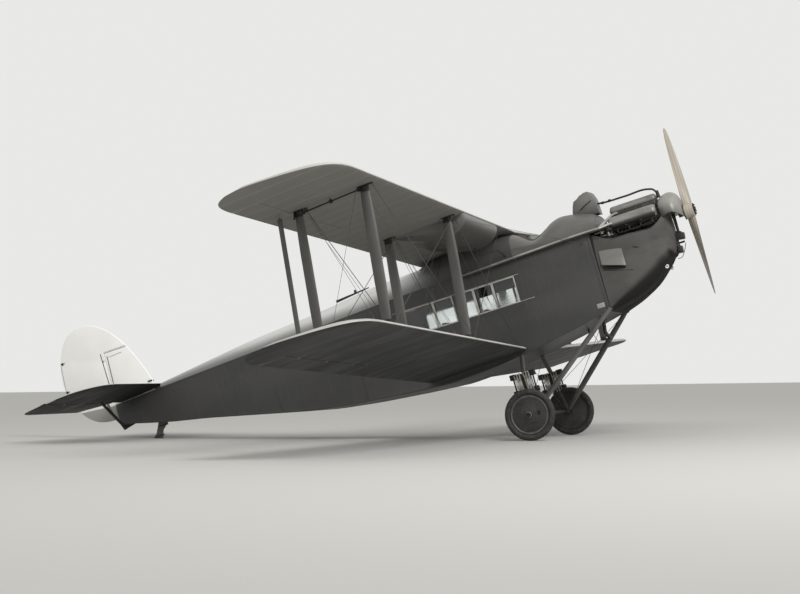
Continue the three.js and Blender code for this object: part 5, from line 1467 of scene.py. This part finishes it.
front_edge = bend((-10.0, 0.06), (-10.13, 0.43), (-10.35, 0.8), 12)
fin = [(-10.0, -0.16), (-10.0, 0.06)] + [p for p in front_edge if p[1] < 0.775]
sheet([*fin, (-10.341, 0.785), (-10.823, 0.785), (-10.823, -0.19)], -0.02, 0.02, 0.013)
for z in (0.15, 0.64):
    brick((-10.855, -0.009, z - 0.0125), (-10.815, 0.009, z + 0.0125), 0.001)
    rod((-10.855, 0, z - 0.0125), (-10.855, 0, z + 0.0125), 0.012, sides=16)
piece("fin_linen", white_linen, "white_dope", "fin")
edge = [(-10.831, -0.438), (-10.99, -0.44)]
for control, end, steps in (
    ((-11.39, -0.42), (-11.59, -0.09), 14),
    ((-11.8, 0.2), (-11.79, 0.56), 14),
    ((-11.757, 1.0), (-11.56, 1.23), 14),
    ((-11.33, 1.47), (-10.96, 1.36), 16),
    ((-10.62, 1.22), (-10.35, 0.8), 18),
):
    edge += bend(edge[-1], control, end, steps)
edge.append((-10.831, 0.8))
for z in (0.64, 0.15):
    edge += [(-10.831, z + HALF_SLOT), (-10.881, z + HALF_SLOT)]
    edge += [(-10.881, z - HALF_SLOT), (-10.831, z - HALF_SLOT)]
sheet(edge, -0.024, 0.024, 0.015)
piece("rudder_linen", rudder_linen, "white_dope", "rudder", "rudder")

# %% [markdown]
# On both sides dark strips edge the white hinge post, a short bar crosses the fin below its top,
# and small brackets at the tail edge of the rudder carry a wire. These lines are all that breaks
# the white surface, so each is its own thin part.

# %% Strips and brackets on fin and rudder
# Painted shadow: the third bar, along the fin's top edge, stands for the shade in the gap under the
# rudder's horn.
for side in (-1, 1):
    rod((-10.776, side * 0.016, 0.2), (-10.772, side * 0.016, 0.72), 0.009, sides=8)
    rod((-10.735, side * 0.019, 0.692), (-10.463, side * 0.019, 0.709), 0.004, sides=8)
    rod((-10.82, side * 0.012, 0.784), (-10.37, side * 0.012, 0.784), 0.006, sides=8)
    brick((-10.08, side * 0.03 - 0.012, 0.03), (-10.0, side * 0.03 + 0.012, 0.055), 0.004)
piece("fin_strips", black_steel, "dark_steel")
for side in (-1, 1):
    rod((-10.893, side * 0.02, 0.79), (-10.862, side * 0.02, 0.2), 0.009, sides=8)
    for x, z in ((-11.688, 0.84), (-11.725, 0.31)):
        brick((x - 0.05, side * 0.02, z - 0.008), (x + 0.03, side * 0.034, z + 0.008), 0.002)
        brick((x - 0.03, side * 0.02, z - 0.03), (x, side * 0.03, z + 0.02), 0.002)
    rod((-11.74, side * 0.03, 0.84), (-11.76, side * 0.03, 0.31), 0.0022, sides=6)
    brick((-11.03, side * 0.022, 0.12), (-10.9, side * 0.032, 0.135), 0.003)
piece("rudder_strips", black_steel, "dark_steel", body="rudder")

# %% Tailplane struts and the stern fitting
# Painted shade: the tailplane struts take the blackened steel finish for the shade they lie in
# under the tailplane.
streamlined((-10.772, 0.02, -0.612), (-10.684, 0.83, -0.13), 0.066, 0.042, 0.75, 20, 20)
rod((-10.70, 0.8, -0.15), (-10.67, 0.845, -0.11), 0.014)
piece("tailplane_strut_*", black_steel, "strut_paint", "tailplane_struts")
brick((-10.802, -0.03, -0.64), (-10.74, 0.03, -0.56), 0.006)
rod((-10.772, -0.045, -0.612), (-10.772, 0.045, -0.612), 0.013, sides=14)
foot = [(-10.868, -0.492), (-10.789, -0.664), (-10.537, -0.604), (-10.55, -0.58)]
sheet([*foot, (-10.77, -0.57), (-10.85, -0.48)], -0.022, 0.022, 0.004)
piece("stern_fitting", black_steel, "dark_steel", "tailplane_struts")

# %% [markdown]
# The tail skid is an ash leg that leans back from the stern, with a steel shoe bent round its
# foot and two bands higher up. Its foot must rest on the ground, which slopes on the level
# drawing: the ground passes under the flat of the CAD model's 32-sided tyre.

# %% Tail skid
AXLE_X, AXLE_Z = -3.057, -2.53
TYRE_FLAT = 0.41 * math.cos(math.pi / 32)


def ground(x):
    """The height of the ground on the level aeroplane, below a place along it."""
    return AXLE_Z + (math.sin(PITCH) * (AXLE_X - x) - TYRE_FLAT) / math.cos(PITCH)


def over_ground(*spots):
    return [(x, ground(x) + above) for x, above in spots]


leg = over_ground((-10.085, 0.007), (-10.225, 0.007), (-10.215, 0.05), (-10.175, 0.09))
leg += [(-10.07, keel(-10.07) + 0.03), (-9.88, keel(-9.88) + 0.03), (-10.04, -0.87)]
sheet(leg, -0.026, 0.026, 0.009)
piece("ash_tail_skid", strut_wood, "dark_steel", "tail_skid")
shoe = over_ground((-10.08, 0), (-10.232, 0), (-10.24, 0.03))
shoe += over_ground((-10.224, 0.03), (-10.218, 0.012), (-10.08, 0.012))
sheet(shoe, -0.031, 0.031, 0.003)
for x, z in ((-10.12, -0.955), (-10.0, -0.79)):
    brick((x - 0.075, -0.03, z - 0.012), (x + 0.075, 0.03, z + 0.012), 0.003)
piece("tail_skid_shoe", black_steel, "dark_steel")

# %% [markdown]
# ## Undercarriage
# Each side has a long front leg, a short rear leg, and between them a rack of two bars. Rubber
# cord is wound round both bars in two groups, and gives the springing. The lower leg goes down
# to a sleeve on the axle. The windings are loops, each a tube on an oval path round both bars.

# %% Legs, bars and sleeves
RACK_X, RACK_TOP, RACK_BOTTOM, RACK_Y = -3.115, -1.865, -2.135, 0.85
WHEEL_Y = 1.283


def on_axle(profile, steps, y=WHEEL_Y):
    """A closed ring round the axle, at y along it."""
    lathe([*profile, profile[0]], (AXLE_X, y, AXLE_Z), (0, 1, 0), steps)


streamlined((-1.49, 0.592, -1.225), (-3.03, 1.043, -2.508), 0.092, 0.048, 0.78, 40)
streamlined((-3.1, 0.6, -1.49), (-3.092, RACK_Y, RACK_TOP), 0.08, 0.04, 0.85, 10)
piece("undercarriage_legs_*", strut_wood, "strut_paint", "undercarriage_frame_*")
foot = (AXLE_X, 0.95, AXLE_Z + 0.02)
streamlined((-3.095, RACK_Y, RACK_BOTTOM), foot, 0.15, 0.05, 0.8, 16)
for low, high, half in (
    (RACK_TOP - 0.03, RACK_TOP + 0.025, 0.185),
    (RACK_BOTTOM - 0.025, RACK_BOTTOM + 0.02, 0.175),
):
    brick((RACK_X - half, RACK_Y - 0.033, low), (RACK_X + half, RACK_Y + 0.033, high), 0.012)
for x in (RACK_X - 0.165, RACK_X, RACK_X + 0.165):
    rod((x, RACK_Y, RACK_BOTTOM), (x, RACK_Y, RACK_TOP), 0.013, sides=14)
for x in (RACK_X - 0.165, RACK_X + 0.165):
    for y in (RACK_Y - 0.036, RACK_Y + 0.036):
        for z in (RACK_TOP, RACK_BOTTOM):
            cheek = Vector((0.045, 0.006, 0.045))
            brick(Vector((x, y, z)) - cheek, Vector((x, y, z)) + cheek, 0.004)
brick((RACK_X - 0.03, RACK_Y - 0.03, -2.12), (RACK_X + 0.03, RACK_Y + 0.03, -1.9), 0.006)
sleeve = [(-0.11, 0.0285), (-0.11, 0.044), (-0.1, 0.046), (-0.03, 0.046), (-0.02, 0.054)]
sleeve += [(0.0, 0.054), (0.01, 0.046), (0.1, 0.046), (0.11, 0.043), (0.11, 0.0285)]
on_axle(sleeve, 36, 1.015)
brick((-1.545, 0.572, -1.275), (-1.455, 0.60, -1.21), 0.008)
brick((-3.14, 0.57, -1.545), (-3.05, 0.62, -1.48), 0.008)
piece("undercarriage_rack_*", black_steel, "dark_steel", "undercarriage_frame_*")

# %% Rubber cord windings
deep, tall = 0.043, (RACK_TOP - RACK_BOTTOM) / 2 + 0.034
middle = (RACK_TOP + RACK_BOTTOM) / 2
for number, x0 in enumerate((*range(-2, 3), *range(-2, 3))):
    x0 = RACK_X + (-0.078 if number < 5 else 0.078) + x0 * 0.022
    slant = 0.016 * (1 if number % 5 % 2 else -1)

    def winding(v):
        turn = 2 * math.pi * v
        y, z = deep * squarer(math.cos(turn), 0.35), tall * squarer(math.sin(turn), 0.5)
        return Vector((x0 + slant * math.sin(turn), RACK_Y + y, middle + z))

    def cord_place(u, v):
        here, nearby = winding(v), winding(v + 0.004)
        return ring_point(here, nearby - here, (1, 0, 0), u, 0.0085)

    skin(8, 44, cord_place, ends=False)
piece("rubber_cord_windings_*", braid, "tyre_rubber")

# %% [markdown]
# Crossed wires stiffen the undercarriage between its two sides, and a curved drain pipe hangs
# under the nose. The axle is a steel tube with a collar inside each wheel.

# %% Bracing wires, axle and drain
for side in (-1, 1):
    wire((-2.93, side * 0.99, -2.42), (-1.62, -side * 0.57, -1.32), 0.004, 8)
    wire((-3.09, side * 0.92, -2.4), (-3.1, -side * 0.6, -1.56), 0.004, 8)
piece("undercarriage_wires", wire_steel, "stay_steel")
axle = [(-1.378, 0), (-1.378, 0.024), (-1.374, 0.0279), (1.374, 0.0279), (1.378, 0.024)]
lathe([*axle, (1.378, 0)], (AXLE_X, 0, AXLE_Z), (0, 1, 0), 32)
for side in (-1, 1):
    rod((AXLE_X, side * 1.128, AXLE_Z), (AXLE_X, side * 1.14, AXLE_Z), 0.042, sides=28)
piece("axle_tube", black_steel, "dark_steel", "axle")
drain = [(-1.74, -0.2, -1.30), (-1.755, -0.2, -1.45), (-1.765, -0.2, -1.55), (-1.70, -0.2, -1.66)]
tube(drain, 0.03, 14, 24, up=(0, 1, 0))
rod((-1.74, -0.2, -1.36), (-1.742, -0.2, -1.33), 0.055, sides=20)
rod((-2.1, 0.15, -1.33), (-2.1, 0.15, -1.45), 0.018)
piece("drain_pipe", black_steel, "dark_steel")

# %% [markdown]
# A wheel is a hub and wire spokes behind two linen cones. The cones show the spokes as faint
# ridges, so they are a grid round the hub whose height ripples. The tyre is a lathe ring with
# grooves cut in its tread.

# %% Wheels
cone = [(0.0283, 0.078), (0.05, 0.078), (0.06, 0.076), (0.066, 0.0655), (0.12, 0.0565)]
cone += [(0.2, 0.0435), (0.285, 0.0305), (0.294, 0.034), (0.3, 0.0335), (0.303, 0.028)]
radii, rises = zip(*cone)
REACH = 45


def disc_place(u, v):
    """Rows run from the hub out over the inner cone, and back to the hub over the outer one."""
    row, turn = round(v * (2 * REACH + 1)), 2 * math.pi * u
    reach = min(row, 2 * REACH + 1 - row) / REACH
    radius, rise = (np.interp(reach, np.linspace(0, 1, len(cone)), c) for c in (radii, rises))
    if 0.07 < radius < 0.284:
        rise -= 0.0016 * (1 - abs(math.cos(turn * 16)))
    y = WHEEL_Y + (rise if row > REACH else -rise)
    return AXLE_X + radius * math.cos(turn), y, AXLE_Z + radius * math.sin(turn)


grid(128, 2 * REACH + 1, disc_place)
bmesh.ops.remove_doubles(bm, verts=bm.verts, dist=1e-6)
bmesh.ops.bridge_loops(bm, edges=[edge for edge in bm.edges if edge.is_boundary])
piece("wheel_discs_*", disc_linen, "wheel_paint", "wheel_*", "wheel_*", 28)
for outer, tall in ((0.078, 0.006), (0.084, 0.005)):
    rim = [(outer - 0.003, 0.0284), (outer - 0.003, 0.056 - outer * 0.1)]
    on_axle([*rim, (outer + tall, 0.05 - outer * 0.1), (outer + tall, 0.0284)], 40)
for x, z, reach in ((AXLE_X + 0.02, AXLE_Z - 0.14, 0.09), (AXLE_X - 0.01, AXLE_Z - 0.235, 0.11)):
    y = WHEEL_Y + np.interp(math.hypot(x - AXLE_X, z - AXLE_Z), radii[3:7], rises[3:7])
    brick((x - reach, y - 0.004, z - 0.004), (x + reach, y + 0.0015, z + 0.004), 0.0008)
piece("wheel_hub_rings_*", black_steel, "dark_steel", body="wheel_*")
rim = [(0.016, 0.303), (0.03, 0.309), (0.0375, 0.303), (0.0385, 0.288), (0.031, 0.278)]
on_axle(rim, 96)
piece("wheel_rim_rings_*", rim_paint, "wheel_paint", body="wheel_*")
# Painted shadow: the valve hole is a black disc on the linen.
x, z = AXLE_X + 0.158, AXLE_Z - 0.006
rod((x, WHEEL_Y + 0.04, z), (x, WHEEL_Y + 0.0525, z), 0.034, sides=28)
piece("wheel_valve_holes_*", seam_and_shadow_black, "dark_steel", body="wheel_*")
on_axle([(0.078, 0.0285), (0.078, 0.046), (0.082, 0.048), (0.086, 0.044), (0.086, 0.0285)], 36)
piece("wheel_hub_caps_*", grey_panel, "wheel_paint", body="wheel_*")

# %% Tyres
tyre = [(-0.0252, 0.3035)]
for turn in np.radians(np.linspace(-150, 150, 41)):
    across, radius = 0.053 * math.sin(turn), 0.3568 + 0.0512 * math.cos(turn)
    grooved = any(abs(across - g) < 0.0026 for g in (-0.024, -0.008, 0.008, 0.024))
    tyre.append((across, radius - (0.0035 if grooved and math.cos(turn) > 0 else 0)))
on_axle([*tyre, (0.0252, 0.3035)], 112)
piece("rubber_tyre_*", tyre_rubber, "tyre_rubber", "tyre_*", "wheel_*")

# %% [markdown]
# ## Size
# The box round the dressed model, with the floor left out, is printed.

# %% Size
bpy.context.view_layer.update()
low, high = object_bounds()
print("visual box", [round(c, 3) for c in high - low])
